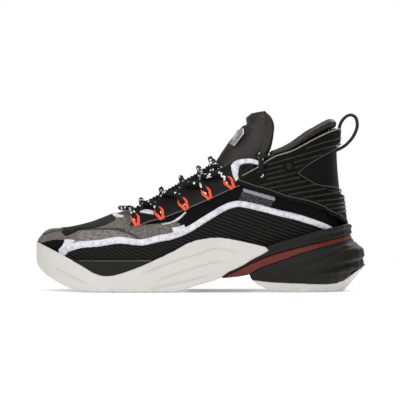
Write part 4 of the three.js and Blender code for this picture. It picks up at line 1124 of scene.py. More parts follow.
def lace_half(first, passes):
    """One half of the lace, from the first bar to the collar. It starts on the side first."""
    points, side, high = [], first, first is LATERAL
    for row, loop_pass in enumerate(passes):
        hump = 2 * LACE_RADIUS + 0.1 if high else 0
        x = CROSSINGS[row + 1]
        if row > 0:
            points.append(edge_point(CROSSINGS[row] + 4.5, OVERLAY_OUT + LACE_RADIUS + 0.7) * side)
        points += [p * side for p in loop_pass]
        points += [on_tongue(x - 1.5, 0.45, 0.9) * side, on_tongue(x - 0.5, 0.22, 0.9 + hump / 2) * side]
        points.append(on_tongue(x, 0.0, 0.7 + hump))
        side = MEDIAL if side is LATERAL else LATERAL
        points.append(on_tongue(x + 0.5, 0.22, 0.9 + hump / 2) * side)
    points.append(on_tongue(CROSSINGS[-1] + 3, 0.45, 1.6) * side)
    for x, z, d in (
        (27.5, 113, LACE_UNDER - 0.8), (35, 112.5, LACE_UNDER - 0.8),
        (EYELET[0] + 4.2, EYELET[1] - 2.2, LACE_UNDER - 0.6),
        (SHELL_HOLE[0] - 4.5, SHELL_HOLE[1] + 0.5, LACE_UNDER - 0.6), (SHELL_HOLE[0], SHELL_HOLE[1], 2.5),
        (SHELL_HOLE[0] + 0.6, SHELL_HOLE[1] + 5, SHELL_OUT + LACE_RADIUS + 0.9),
        (SHELL_HOLE[0] + 0.6, SHELL_HOLE[1] + 11, SHELL_OUT + LACE_RADIUS + 0.7),
    ):
        points.append(on_side(x, z, d) * side)
    return points, side


def over_collar(side):
    """Where the lace crosses the collar's edge, and the way that is out from the shoe."""
    rim = last_point(4.05, 1.0) * side
    out = np.sign(rim[1])
    return np.array([rim[0], rim[1] + 0.6 * out, rim[2] + LACE_RADIUS + 1.0]), out


def lace_end_points(side):
    """The route of a free end, which hangs inside the collar."""
    top, out = over_collar(side)
    hang = ((0.06, 4.6, 0.2), (0.2, 6.2, 0.4), (0.45, 6.4, 1), (0.75, 5.6, 2), (1, 5.2, 3))
    return [np.array([top[0] + back, top[1] - out * inwards, top[2] - share * LACE_END_LENGTH])
            for share, inwards, back in hang]


def centripetal(points, count):
    """Evenly shared samples of an open centripetal Catmull-Rom curve."""
    points = np.asarray(points, float)
    last = len(points) - 1
    ended = np.vstack([2 * points[0] - points[1], points, 2 * points[-1] - points[-2]])
    p = np.linspace(0, last, count)
    i = np.minimum(np.floor(p).astype(int), last - 1)
    w = (p - i)[:, None]
    p0, p1, p2, p3 = (ended[i + k] for k in range(4))
    gap = lambda a, b: np.maximum(np.sqrt(np.linalg.norm(b - a, axis=1)), 1e-4)[:, None]
    d0, d1, d2 = gap(p0, p1), gap(p1, p2), gap(p2, p3)
    t1 = ((p1 - p0) / d0 - (p2 - p0) / (d0 + d1) + (p2 - p1) / d1) * d1
    t2 = ((p2 - p1) / d1 - (p3 - p1) / (d1 + d2) + (p3 - p2) / d2) * d1
    return p1 + t1 * w + (3 * (p2 - p1) - 2 * t1 - t2) * w**2 + (2 * (p1 - p2) + t1 + t2) * w**3


def braid(depth):
    """Strand bulges of a round braid, along a cord's run in metres and round it."""
    return lambda run, angle: (1 + depth * np.sin(run * BRAID_TURNS + 2 * angle)
                               * np.sin(run * BRAID_TURNS - 2 * angle))


def make_lace_ends(sizes, colours):
    material = lace_finish(colours)
    film = aglet_finish()
    for word, side in zip(SIDES, (LATERAL, MEDIAL)):
        points = lace_end_points(side)
        route = placed(centripetal(points, 90))
        tip = placed(points[-1])
        down = np.array([0, 0, -1.0])
        line = tip + down * (AGLET_GAP * MM + np.linspace(0, AGLET_LENGTH * MM, AGLET_STEPS)[:, None])
        taper = np.interp(np.linspace(0, 1, AGLET_STEPS), *AGLET_TAPER) * LACE_RADIUS * MM
        aglet = tube(f"lace_tip_{word}", line, taper, 20)
        finished(aglet, "shoe", "aglet_film", film, f"aglet_{word}")
        end = tube(f"lace_tail_{word}", route, sizes.lace_radius, 20, braid(0.045))
        finished(end, "shoe", "lace_cord", material, f"lace_end_{word}")


def make_lace(sizes, colours):
    passes = lace_side_points()
    (one, end_one), (two, end_two) = lace_half(LATERAL, passes), lace_half(MEDIAL, passes)
    bar = OVERLAY_OUT + LACE_RADIUS + 0.5
    corner = on_side(-69, 70, bar)
    first_bar = [corner * LATERAL, surface(float(THROAT_FRONT), 1.0, bar), corner * MEDIAL]
    tails = []
    for side in (end_one, end_two):
        top, out = over_collar(side)
        start = lace_end_points(side)[0]
        inner = np.array([top[0], top[1] - 3.4 * out, top[2] - 1.2])
        tails.append([top, inner, start])
    whole = [*tails[0][::-1], *one[::-1], *first_bar, *two, *tails[1]]
    line = centripetal(whole, 2600)
    run = arc(line, 0)
    even = np.linspace(0, run[-1], int(run[-1] / LACE_STEP))
    line = np.stack([np.interp(even, run, line[:, k]) for k in range(3)], -1)
    lace = tube("cord_lace", placed(line), sizes.lace_radius * LACE_FULLNESS, 18, braid(0.07))
    finished(lace, "shoe", "lace_cord", lace_finish(colours), "lace")


def make_loops(sizes, colours):
    material = loop_finish(colours)
    leg = [[0, 0.35], [0.28, 0.7], [0.5, 0.92], [0.72, 0.7]]
    for row, (foot, head) in enumerate(zip(LOOP_FEET, LOOP_HEADS)):
        length = np.linalg.norm(head - foot)
        ahead = (head - foot) / length
        across = np.array([-ahead[1], ahead[0]])
        plan = [(up, share) for up, share in leg] + [(0.9, 0)] + [(up, -share) for up, share in leg[::-1]]
        flat = [foot + ahead * length * up + across * LOOP_HALF_WIDTH * share for up, share in plan]
        marks = mark(flat)
        lifts = np.full(len(marks), LOOP_LIFT)
        lifts[[0, -1]] -= 1.4
        points = centripetal(surface(marks[:, 0], marks[:, 1], lifts), 80)
        for word, side in zip(SIDES, (LATERAL, MEDIAL)):
            key = f"loop_{word}_{row + 1}"
            loop = tube(f"cord_{key}", placed(points * side), LOOP_RADIUS * LOOP_FULLNESS * MM, 14)
            finished(loop, "shoe", "loop_cord", material, f"lace_{key}")


# ------------------------------------------------------------------ sole
ENGRAVED = [
    [[-60, 15], [-40, 22], [-20, 29.5], [-0.9, 34.8], [12.3, 39.9], [32.6, 36.8], [42, 34]],
    [[-46, 9], [-20, 17.5], [-0.9, 23.6], [16.4, 27.6], [26, 25]],
    [[-50, 3], [-25, 7.5], [-0.9, 13.4], [14.3, 17.5]],
    [[-146, 30], [-132, 22], [-112, 12], [-96, 6]],
]
TREAD_PITCH = 6.5
TREAD_ZIGZAG = 18
ENGRAVING_DEPTH, ENGRAVING_WIDTH = 1.5, 0.9
POD_FACETS = (  # start, end, widening and height of each facet in side view
    ((84, 18.5), (142, 31), 0.2, 2.2), ((84, 12), (138, 20.5), 0.1, 1.3), ((70, 24), (140, 43), 0.05, 0.9),
)
CARRIER_RIM = [[58, 41.5], [61.9, 42.6], [82.8, 48.6], [103.8, 54.9], [124.8, 59.4], [132, 61.2], [140, 60.6]]
HEEL_MIDDLE = np.array([98.0, 0.0])
HEEL_CLIMB_OUT, HEEL_CLIMB_UP = 6.7, 8.4


def tread(sizes):
    """Zigzag grooves in the faces that meet the ground."""
    depth = sizes.tread_depth / MM

    def cut_in(co, normal):
        under = smooth(0.75, 0.95, -normal[:, 2]) * smooth(3.5, 1.5, co[:, 2])
        zigzag = np.abs(np.mod(co[:, 0] / TREAD_ZIGZAG, 1) - 0.5) * TREAD_ZIGZAG
        turn = (co[:, 1] + zigzag) / TREAD_PITCH
        groove = smooth(0.35, 0.85, np.cos(2 * math.pi * turn))
        co[:, 2] += under * groove * depth
        return co
    return cut_in


def rubber_shape(sizes):
    """Engraved lines along the sides, and the tread."""
    grooves = tread(sizes)

    def shape(co, normal):
        x, z = co[:, 0], co[:, 2]
        side = smooth(0.5, 0.85, np.abs(normal[:, 1]))
        for line in ENGRAVED:
            line = spline(line, np.linspace(0, 1, 20))
            reach = to_segment(x, z, line)
            fade = smooth(line[0, 0], line[0, 0] + 14, x) * smooth(line[-1, 0], line[-1, 0] - 12, x)
            groove = -ENGRAVING_DEPTH * np.exp(-(reach / ENGRAVING_WIDTH) ** 2)
            co = co + normal * (fade * side * groove)[:, None]
        return grooves(co, normal)
    return shape


def pod_shape(co, normal):
    """Sculpted facets that fan out from the front of the heel pod."""
    x, z = co[:, 0], co[:, 2]
    side = smooth(0.2, 0.6, np.linalg.norm(normal[:, :2], axis=1))
    side *= smooth(50, 90, np.abs(co[:, 1]) * 1.4 + x * 0.6)
    for (ax, az), (bx, bz), wide, tall in POD_FACETS:
        length = math.hypot(bx - ax, bz - az)
        dx, dz = (bx - ax) / length, (bz - az) / length
        along = (x - ax) * dx + (z - az) * dz
        off = -(x - ax) * dz + (z - az) * dx
        reach = np.maximum(1.5, along * wide)
        up = np.where(off > 0, off / reach, -off / (0.35 * reach))
        crest = np.clip(1 - up, 0, 1) * np.clip(along / 30, 0, 1)
        co = co + normal * (side * crest * tall * 1.05)[:, None]
        valley = np.exp(-((off - 1.15 * reach) / 1.6) ** 2) * np.clip(along / 20, 0, 1)
        co = co - normal * (side * valley * 1.1)[:, None]
    return co


def carrier_shape(co, normal):
    """A rolled rim along the top edge of the carrier, and a shallow channel under it."""
    x, z = co[:, 0], co[:, 2]
    reach = to_segment(x, z, spline(CARRIER_RIM, np.linspace(0, 1, 24)))
    back = smooth(56, 66, x) * smooth(0.2, 0.6, np.linalg.norm(normal[:, :2], axis=1))
    bead = np.exp(-((reach - 1.6) / 1.7) ** 2) * 0.7 - np.exp(-((reach - 5.2) / 1.5) ** 2) * 0.6
    return co + normal * (back * bead)[:, None]


def make_rubber(sizes, colours):
    material = rubber_finish(colours)
    cup = moulded("forefoot_cup", "forefoot_outsole", 0.001, 6, rubber_shape(sizes))
    finished(cup, "shoe", "white_rubber", material, "forefoot_outsole")
    grooves = tread(sizes)

    def climbing(co, normal):
        """The rubber's back edge climbs the heel pod and lies on it."""
        away = co[:, :2] - HEEL_MIDDLE
        out = unit(away)
        high = smooth(3, 13, co[:, 2]) * smooth(14, 46, np.linalg.norm(away, axis=1) * np.clip(out[:, 0], 0, 1))
        co[:, :2] += out * (HEEL_CLIMB_OUT * high)[:, None]
        co[:, 2] += HEEL_CLIMB_UP * high
        return grooves(co, normal)

    heel = moulded("heel_rubber", "heel_outsole", 0.0008, 5, climbing)
    finished(heel, "shoe", "white_rubber", material, "heel_outsole")


def make_carrier(sizes, colours):
    material = foam_finish(colours)
    carrier = moulded("midsole_foam", "midsole_carrier", 0.00115, 5, carrier_shape)
    finished(carrier, "shoe", "foam", material, "midsole_carrier")
    pod = moulded("sculpted_pod", "heel_pod", 0.0009, 6, pod_shape)
    finished(pod, "shoe", "foam", material, "heel_pod")
    plate = moulded("curved_plate", "shank_plate", 0.00065, 5)
    finished(plate, "shoe", "shank", plate_finish(colours), "shank_plate")


# ------------------------------------------------------------------ inside
COUNTER_TOP = 0.45
COLLAR_END = 3.7
PADDING_DEPTH = 6
PADDING_FACE, LINING_FACE = -1.2, -2.5


def lining_face(u, t):
    """How deep the lining lies: it bulges over the ankle foam."""
    return LINING_FACE - PADDING_DEPTH * np.sin(math.pi * np.clip(t - COUNTER_TOP, 0, 1) / (1 - COUNTER_TOP))


def level(t):
    """A line round the heel at one rib position, from the lateral to the medial end of the collar."""
    return lambda s: np.stack([COLLAR_END * (1 - 2 * s), np.full(np.shape(s), float(t))], -1)


def make_inside(sizes, colours):
    board = solid_fabric_finish("board_finish", rgb(168, 166, 158), 500)
    for node in ("strobel_board", "heel_counter"):
        mesh = NODES[node].data
        for k in range(len(mesh.materials)):
            mesh.materials[k] = board
    sock = moulded("footbed", "sockliner", 0.0013, 3)
    finished(sock, "shoe", "lining", solid_fabric_finish("footbed_finish", rgb(44, 44, 47), 900), "sockliner")
    pad = patch("ankle_foam", level(COUNTER_TOP + 0.03), level(0.93),
                lambda u, t: np.minimum(lining_face(u, t) + 0.9, PADDING_FACE), -0.7,
                along=140, across=24, rim=1.0)
    foam = solid_fabric_finish("ankle_foam_finish", rgb(60, 60, 60), 800)
    finished(pad, "shoe", "padding", foam, "ankle_padding")
    lining = patch("heel_lining", level(0.07), level(0.985), lambda u, t: lining_face(u, t) - 1, lining_face,
                   along=260, across=60, rim=0.6)
    finished(lining, "shoe", "lining", fabric_finish("lining_finish", rgb(40, 40, 42), 9), "collar_lining")


# ------------------------------------------------------------------ upper
SCALED_AREA = [
    [-112, 54.5], [-95, 55.6], [-78, 55.2], [-66, 53.2], [-52, 46], [-75, 43], [-102, 41.2], [-113, 44],
]
HEATHER_AREA = [[37.6, 92.5], [66, 84.5], [63, 77], [52, 76], [33, 79.5]]
LIGHT_STRIP = [[37.6, 93.5], [67, 85.5], [66, 82.2], [38.4, 90.3]]
KNIT_SEAMS = (
    [[-142.7, 49.2], [-133, 52.3], [-118.3, 55.2]], [[-110, 54.8], [-90, 55.9], [-69, 55.6]],
    [[-73, 54.6], [-66, 52.8], [-52, 45.8]],
)


def bootie_marks(points):
    """Where the knit is grey, lighter, ribbed or seamed, by place in side view."""
    x, z = points[..., 0], points[..., 2]
    grey = np.maximum(smooth(-50, -54, x), smooth(61.5, 57.5, z - 0.1 * (x + 53)) * smooth(-12, -26, x))
    grey *= 1 - smooth(43, 41.5, z - 0.1 * (x + 146)) * smooth(-146, -142, x) * smooth(-116, -122, x)
    line = np.min([to_segment(x, z, s) for s in KNIT_SEAMS], axis=0)
    return {
        "grey": grey, "lens": smooth(-1, 2, inside(x, z, SCALED_AREA)),
        "patch": smooth(-1.5, 1.5, inside(x, z, HEATHER_AREA)),
        "strip": smooth(-1, 1, inside(x, z, LIGHT_STRIP)),
        "seam": smooth(1.1, 0.4, line),
    }


def make_bootie(sizes, colours):
    rows, cols = 620, 66
    u = np.linspace(0, ROUND, rows + 1)[:-1]
    t = np.linspace(0, 1, cols)
    u, t = np.meshgrid(u, t, indexing="ij")
    base, normal = last_point(u, t), outward(u, t)
    marks = bootie_marks(base)
    x, z = base[..., 0], base[..., 2]
    puff = 0.35 * np.sin(x * 0.21 + z * 0.13) * np.sin(z * 0.29 - x * 0.07)
    toe = smooth(-112, -132, x) * np.exp(-((z - 43) / 7.5) ** 2) * 3.6
    lift = BOOTIE_WALL + toe + puff * smooth(0.02, 0.2, t) * smooth(1, 0.9, t) - 0.5 * marks["seam"]
    on_plane = np.abs(base[..., 1]) < CENTRE_PLANE
    outer, inner = base + normal * lift[..., None], base.copy()
    run = np.vstack([arc(base, 0), [arc(base, 0)[-1] + np.linalg.norm(base[0] - base[-1], axis=-1)]])
    climb = arc(base, 1)
    uv = np.stack([np.broadcast_to(run[:, cols // 2][:, None], (rows + 1, cols)),
                   np.vstack([climb, climb[:1]])], -1) / PATTERN_SCALE
    made = layered("knit_bootie", placed(outer), placed(inner), uv, closed=True, marks=marks,
                   drop=np.tile(on_plane.ravel(), 2))
    welded(made, 2e-6)
    fix_outside(made.data)
    finished(made, "shoe", "knit", knit_finish(colours), "upper_bootie")


PIPING_LINE = [
    [-121, 37.5], [-103, 42.2], [-75.7, 44.2], [-46.5, 46], [-27, 50], [-8.2, 57.9], [12, 70.9], [27.4, 78.3],
    [38, 79.2], [60, 74.4], [90, 66.5], [107, 60.6], [116, 56],
]
PANEL_FOOT = [[-122, 26], [-100, 23], [-46, 24], [-20, 30], [0, 37], [30, 40], [60, 41], [90, 47], [114, 51]]
EYESTAY_FOOT = [
    [-64.5, 57.2], [-58, 58.2], [-46.5, 62], [-33.7, 65.6], [-21, 70.6], [-8.2, 76], [10.9, 84.5], [25.5, 91.5],
    [36, 96], [48, 101],
]
FILM_FOOT = [[-119.5, 54], [-110, 55], [-98, 56], [-87, 59], [-77, 63]]
SHELL_TOP = wrap_seam([
    [31.9, 98.6], [36.5, 102.5], [46, 108], [55.6, 114], [63, 119.5], [72, 125.8], [90, 136.5], [108, 146],
], 151.5)
SHELL_FOOT = wrap_seam([
    [33.2, 97], [37, 95], [49.8, 91], [65.7, 86.5], [88.5, 79.8], [108.5, 72.6], [117, 67],
], 58.2)
STUD = [78.4, 113.5]
WEDGE = [
    [86.4, 107.2], [94, 114], [104, 120.5], [113.3, 126.5], [124, 133.5], [133, 139], [145, 144], [145, 86],
    [122.8, 90.5], [106.9, 95.7], [95, 101.5],
]
EYESTAY_TOP = [8.3, 7.9, 7.4, 6.9, 6.4, 5.8, 5.3, 4.95, 4.6, 4.3]
FILM_TOP = [12, 11.2, 10.5, 9.8, 9.2]
STRAP_FRONT = [[-136, 41.5], [-130, 47.8], [-123.5, 54.2]]
STRAP_BACK = [[-127.7, 37], [-125.6, 43.6], [-119.5, 49], [-110.4, 54.6]]
GUARD_STATIONS = [10.9, 11.6, 12.3, 13, 13.7, 14.4, 15.1]
GUARD_FOOT = [0.08, 0.1, 0.12, 0.14, 0.12, 0.1, 0.08]
FUSED = BOOTIE_WALL - 0.1


def fixed(stations, t):
    """A line through stations, all at one rib position or each at its own."""
    marks = np.stack(np.broadcast_arrays(np.array(stations, float), t), -1)
    return lambda s: spline(marks, s)


def piping_edge(shift):
    """The piping's line moved square to itself."""
    share = np.linspace(0, 1, 16)
    ahead = unit(spline(PIPING_LINE, share + STEP) - spline(PIPING_LINE, share - STEP))
    return seam(spline(PIPING_LINE, share) + np.stack([-ahead[:, 1], ahead[:, 0]], -1) * shift)


def rib_wave(points, pitch):
    """The side panel's slanted ribs, from 0 in a groove to 1 on a crest."""
    x, z = points[..., 0], points[..., 2]
    front = smooth(-20, -60, x)
    turn = (z + (0.36 + 0.9 * front) * x * (1 - 0.55 * front)) / (pitch * 1.25)
    return np.abs(np.sin(math.pi * turn)) ** 0.7


def make_panels(sizes, colours):
    textile = textile_finish()
    smooth_film = film_finish("eyestay_film", rgb(20, 20, 19), 0.42)
    vamp = film_finish("vamp_film_finish", rgb(42, 41, 37), 0.5, 1100)
    strap = film_finish("toe_strap_film", rgb(18, 17, 17), 0.3)
    pitch = sizes.textile_pitch / MM

    def ribs(base, run, climb, edge):
        return (rib_wave(base, pitch) - 0.5) * 0.8 * smooth(0.3, 2.5, edge)

    for word, medial in zip(SIDES, (False, True)):
        panel = patch(f"ribbed_side_{word}", seam(PANEL_FOOT), seam(PIPING_LINE), FUSED, OVERLAY_OUT - 0.2,
                      medial, 420, 60, 1.0, ribs, marks=lambda points: {"rib": rib_wave(points, pitch)})
        finished(panel, "shoe", "side_textile", textile, f"side_panel_{word}")
        for name, node, paint, lower, upper, out, along, across, rim in (
            ("smooth_eyestay", "eyestay", smooth_film, seam(EYESTAY_FOOT), fixed(EYESTAY_TOP, 0.99),
             OVERLAY_OUT, 180, 36, 1.2),
            ("vamp_overlay", "vamp_film", vamp, seam(FILM_FOOT), fixed(FILM_TOP, 0.97),
             OVERLAY_OUT - 0.35, 110, 30, 1.2),
            ("toe_strap_film", "toe_strap", strap, seam(STRAP_FRONT), seam(STRAP_BACK),
             OVERLAY_OUT, 60, 26, 1.0),
        ):
            film = patch(f"{name}_{word}", lower, upper, FUSED, out, medial, along, across, rim)
            finished(film, "shoe", "film", paint, f"{node}_{word}")
    foot = np.array(GUARD_FOOT)
    guard = patch("toe_edge_film", fixed(GUARD_STATIONS, foot + 0.04), fixed(GUARD_STATIONS, foot + 0.2),
                  FUSED, OVERLAY_OUT - 0.3, along=160, across=14, rim=1.2)
    finished(guard, "shoe", "film", strap, "toe_guard")
    notch = patch("heel_notch_panel", wrap_seam([[82, 104], [92, 96], [106, 90]], 84),
                  wrap_seam([[82, 108.5], [92, 118], [106, 128]], 138), FUSED + 0.2, OVERLAY_OUT,
                  along=180, across=50, rim=1.2)
    finished(notch, "shoe", "film", film_finish("heel_panel_film", rgb(9, 9, 9), 0.45), "heel_panel")


EYELET_BAND = (
    [[29.5, 108], [33.5, 111.8], [40, 114.6], [48, 114.8], [56, 112.4]],
    [[27.8, 112.5], [31.5, 116.6], [39, 119.4], [48, 119.3], [57.5, 115.8]],
)
EYELET_LEG = [[31.6, 98.4], [28.9, 105], [27.9, 113]], [[35.6, 98.8], [34.4, 105], [36, 113.4]]
ACCENTS = (  # lower and upper line, height, steps along and across, rim
    ([[-79.5, 66.4], [-76, 65.4], [-70, 65.6]], [[-79.4, 68.3], [-75, 67.6], [-69.6, 66.2]], 3.3, 24, 8, 0.6),
    ([[-54, 69.4], [-48, 68.7], [-41.6, 67.6]],
     [[-54.6, 70.6], [-48.6, 72.4], [-41.9, 71.6]], 3.5, 30, 10, 0.6),
    ([[-35, 59.5], [-26.3, 61.4], [-19.6, 64.4], [-12.8, 71]],
     [[-35.2, 60.1], [-26.6, 62.4], [-20.9, 65.7], [-13.6, 71.6]], 3.4, 50, 8, 0.5),
    ([[-25, 53.6], [-20, 53.6], [-13, 56]], [[-26.4, 57.4], [-21, 58.2], [-15, 60.4]], 3.2, 30, 10, 0.8),
    ([[-127.2, 35.5], [-123.3, 31], [-117, 36.5]],
     [[-127.7, 43.2], [-121, 45.6], [-113, 45]], 3.4, 30, 20, 0.8),
)


def make_trim(sizes, colours):
    material = trim_finish(colours)
    rng = np.random.default_rng(5)
    waves = rng.uniform(0.5, 1.5, (6, 2)) * rng.choice([-1, 1], (6, 2))
    phase = rng.uniform(0, 6, 6)

    def crinkle(base, run, climb, edge):
        total = sum(np.sin(run * a + climb * b * 1.3 + p) for (a, b), p in zip(waves, phase))
        return total * 0.09 * smooth(0.2, 1.4, edge)

    for word, medial in zip(SIDES, (False, True)):
        piping = patch(f"crinkled_piping_{word}", piping_edge(-3.2), piping_edge(2.7), FUSED, 4.7, medial,
                       420, 22, 2.4, crinkle)
        finished(piping, "shoe", "white_trim", material, f"side_piping_{word}")
        band = patch("band", *map(seam, EYELET_BAND), FUSED, 4.3, medial, 90, 16, 1.0, crinkle)
        leg = patch("leg", *map(seam, EYELET_LEG), FUSED, 4.2, medial, 40, 16, 1.0, crinkle)
        whole = joined(f"eyelet_trim_{word}", [band, leg])
        finished(whole, "shoe", "white_trim", material, f"eyelet_patch_{word}")
        accents = [patch("accent", seam(lower), seam(upper), FUSED, out, medial, along, across, rim)
                   for lower, upper, out, along, across, rim in ACCENTS]
        accent = joined(f"trim_accents_{word}", accents)
        finished(accent, "shoe", "white_trim", material)


def heel_share(u):
    """1 at the middle of the heel, falling to 0 on the sides."""
    around = np.mod(u, ROUND)
    return 1 - smooth(0, 2.2, np.minimum(around, ROUND - around))


def shell_outer(u, t):
    return SHELL_OUT + SHELL_HEEL_EXTRA * heel_share(u)


def shell_bounds():
    """The shell's two seams as functions of the station."""
    rows = [f(np.linspace(0, 0.5, 200)) for f in (SHELL_FOOT, SHELL_TOP)]
    return [lambda u, m=m: np.interp(np.abs(u), m[::-1, 0], m[::-1, 1]) for m in rows]


def shell_rib_lines(pitch):
    """Raised lines that climb towards the heel and wrap round it, broken by the notch."""
    foot, top = shell_bounds()
    lines = []
    u = np.linspace(-4.9, 4.9, 420)
    for k in range(30):
        start = 62 + k * pitch
        slope = 0.12 + 0.26 * min(1, max(0, (start - 72) / 45))
        t = np.full(u.shape, 0.6)
        for _ in range(8):
            t = rib_at(u, start + slope * (last_point(u, t)[..., 0] - 40))
        base = last_point(u, t)
        x, z = base[:, 0], base[:, 2]
        clear = (t > foot(u) + 0.05) & (t < top(u) - 0.035) & (inside(x, z, WEDGE) < -1.6) & (x > 51)
        for (at_x, at_z), room in ((SHELL_HOLE, 4.5), (STUD, 5)):
            clear &= np.hypot(x - at_x, z - at_z) > room
        line = surface(u, t, shell_outer(u, t) + 0.05)
        runs = np.split(np.arange(len(u)), np.where(np.diff(clear.astype(int)) != 0)[0] + 1)
        lines += [placed(line[r]) for r in runs if clear[r[0]] and len(r) > 6]
    return lines


def on_shell(marks, lift):
    """A line on the shell, in frame metres."""
    u, t = marks[:, 0], marks[:, 1]
    return placed(surface(u, t, shell_outer(u, t) + lift))


def make_shell(sizes, colours):
    material = shell_finish(colours)

    def relief(base, run, climb, edge):
        x, z = base[..., 0], base[..., 2]
        notch = -inside(x, z, WEDGE)
        band = 0.6 * smooth(5.2, 4.4, climb) * smooth(40, 52, x)
        return band - 1.7 * smooth(3.4, 0.2, notch) * smooth(80, 90, x) * (notch > -2)

    shell = patch("ribbed_shell", SHELL_FOOT, SHELL_TOP, SHELL_IN + 0.2, shell_outer,
                  along=340, across=70, rim=1.6, relief=relief)
    cut(shell, outline_prism(spline(WEDGE, np.linspace(0, 1, 60))))
    finished(shell, "shoe", "shell", material, "ankle_shell")
    # The ribs are coloured lighter grey than the shell they are moulded in: a painted sheen on the ribs.
    rib_sheen_paint = film_finish("rib_finish", rgb(42, 42, 40), 0.32)
    corded("shell_ribs", shell_rib_lines(sizes.rib_pitch / MM), sizes.rib_radius, rib_sheen_paint, "shell")
    grey = film_finish("edge_cord_finish", rgb(150, 148, 144), 0.4)
    rim = SHELL_TOP(np.linspace(0.075, 0.925, 300))
    corded("shell_edge_cord", [on_shell(rim, -0.6)], 0.0006, grey, "shell")
    # Painted highlights: thin light grey cords along the notch's bevelled edges and along the foot of the
    # shell's band.
    lines = [on_shell(seam(outline)(np.linspace(0, 1, 120)) * way, -1.25)
             for outline in (WEDGE[0:6], [WEDGE[0], *WEDGE[:7:-1]]) for way in ([1, 1], [-1, 1])]
    foot = SHELL_FOOT(np.linspace(0.03, 0.97, 300)) + [0, 0.038]
    highlight_paint = film_finish("painted_edge_highlight", rgb(88, 88, 85), 0.4)
    corded("painted_highlight_lines", [*lines, on_shell(foot, 0.45)], 0.00042, highlight_paint, "shell")


def lathe(name, profile, place, normal, sides=40):
    """A turned part on the surface. profile is radius and height in mm, open or closed on itself."""
    normal = unit(np.asarray(normal, float))
    across = unit(np.cross(normal, [0, 0, 1.0]))
    up = np.cross(across, normal)
    angle = 2 * math.pi * np.arange(sides) / sides
    profile = np.asarray(profile, float) * MM
    verts = [place + normal * h + r * (across * np.cos(angle)[:, None] + up * np.sin(angle)[:, None])
             for r, h in profile]
    is_open = not np.allclose(profile[0], profile[-1], atol=1e-9)
    if is_open:
        verts += [[place + normal * profile[k, 1]] for k in (0, -1)]
    mesh = bpy.data.meshes.new(name)
    mesh.from_pydata(np.vstack(verts).tolist(), [], ring_faces(len(profile), sides, poles=is_open))
    rounded(mesh)
    made = welded(linked(name, mesh), 1e-7)
    fix_outside(made.data)
    return made


BUTTON = [
    [0.01, 0], [2.9, 0], [3.0, 0.3], [3.0, 0.9], [2.7, 1.35], [2.2, 1.5], [1.6, 1.35], [1.2, 1.3], [0.5, 1.4],
    [0.01, 1.42],
]
EYELET_RING = [
    [2.5, -0.8], [3.3, -0.8], [3.6, 0.2], [3.5, 0.8], [3.1, 1.15], [2.7, 1.0], [2.5, 0.5], [2.5, -0.8],
]


def make_studs(sizes, colours):
    stud = film_finish("stud_finish", rgb(24, 24, 25), 0.3)
    ring = film_finish("eyelet_finish", rgb(20, 20, 21), 0.28)
    for word, side in zip(SIDES, (LATERAL, MEDIAL)):
        for name, at, d, profile, paint, nodes in (
            ("stud", STUD, SHELL_OUT + 0.35, BUTTON, stud, [f"ankle_rivet_{word}"]),
            ("top_eyelet", [EYELET[0] + 1.2, EYELET[1] - 0.4], SHELL_IN + 0.4, EYELET_RING, ring, []),
            ("shell_eyelet", SHELL_HOLE, SHELL_OUT + 0.1, EYELET_RING, ring, []),
        ):
            m = mark(at)
            made = lathe(f"{name}_{word}", profile, placed(surface(*m, d) * side), outward(*m) * side)
            finished(made, "shoe", "shell", paint, *nodes)


# ------------------------------------------------------------------ collar and tongue
ROLL_STEPS, ROLL_SIDES = 150, 30
ROLL_STATIONS = [0, 1, 2, 3, COLLAR_END]
ROLL_TALL, ROLL_THICK = [4.6, 5.2, 5.4, 4.2, 2.6], [4.6, 4.6, 4.4, 3.8, 2.6]
ROLL_VOXEL, ROLL_SWELL = 0.0022, 0.0012
PUFF_PRESSURE, PUFF_FRAMES = 4, 14


def roll_rings():
    """Centre, outward way and two radii of the collar's roll, along the top line."""
    u = np.linspace(COLLAR_END, -COLLAR_END, ROLL_STEPS)
    tall, thick = (np.interp(np.abs(u), ROLL_STATIONS, sizes) for sizes in (ROLL_TALL, ROLL_THICK))
    out = outward(u, 1.0)
    out[:, 2] = 0
    out = unit(out)
    centre = last_point(u, 1.0) + out * (BOOTIE_WALL + 0.6 - thick)[:, None]
    centre[:, 2] += tall * 0.78 + LAYER_GAP
    return u, tall, thick, out, centre


def make_collar(sizes, colours):
    u, tall, thick, out, centre = roll_rings()
    angle = 2 * math.pi * np.arange(ROLL_SIDES)[None] / ROLL_SIDES
    run = arc(centre, 0)
    ends = np.sqrt(np.clip(1 - (1 - np.clip(np.minimum(run, run[-1] - run) / 3.5, 0, 1)) ** 2, 0.02, 1))
    crease = np.exp(-((angle - 0.95) / 0.16) ** 2) * 0.09 * smooth(0.2, 0.7, np.abs(u) / COLLAR_END)[:, None]
    seam_dip = np.exp(-((angle - 5.7) / 0.12) ** 2) * 0.07
    run = run[:, None]
    wrinkle = 0.012 * np.sin(run * 0.9 + angle * 2) + 0.01 * np.sin(run * 0.37 - angle * 3)
    size = ends[:, None] * (0.965 + wrinkle - crease - seam_dip)
    points = centre[:, None] + out[:, None] * (thick[:, None] * np.cos(angle) * size)[..., None]
    points[..., 2] += tall[:, None] * np.sin(angle) * size
    verts = np.vstack([placed(points).reshape(-1, 3), placed(centre[[0, -1]])])
    mesh = bpy.data.meshes.new("padded_collar")
    mesh.from_pydata(verts.tolist(), [], ring_faces(len(u), ROLL_SIDES))
    fix_outside(mesh)
    collar = linked("padded_collar", mesh)
    puffed(collar, ROLL_VOXEL, ROLL_SWELL)
    rounded(collar.data)
    finished(collar, "shoe", "collar_leather", leather_finish(colours), "collar_roll")


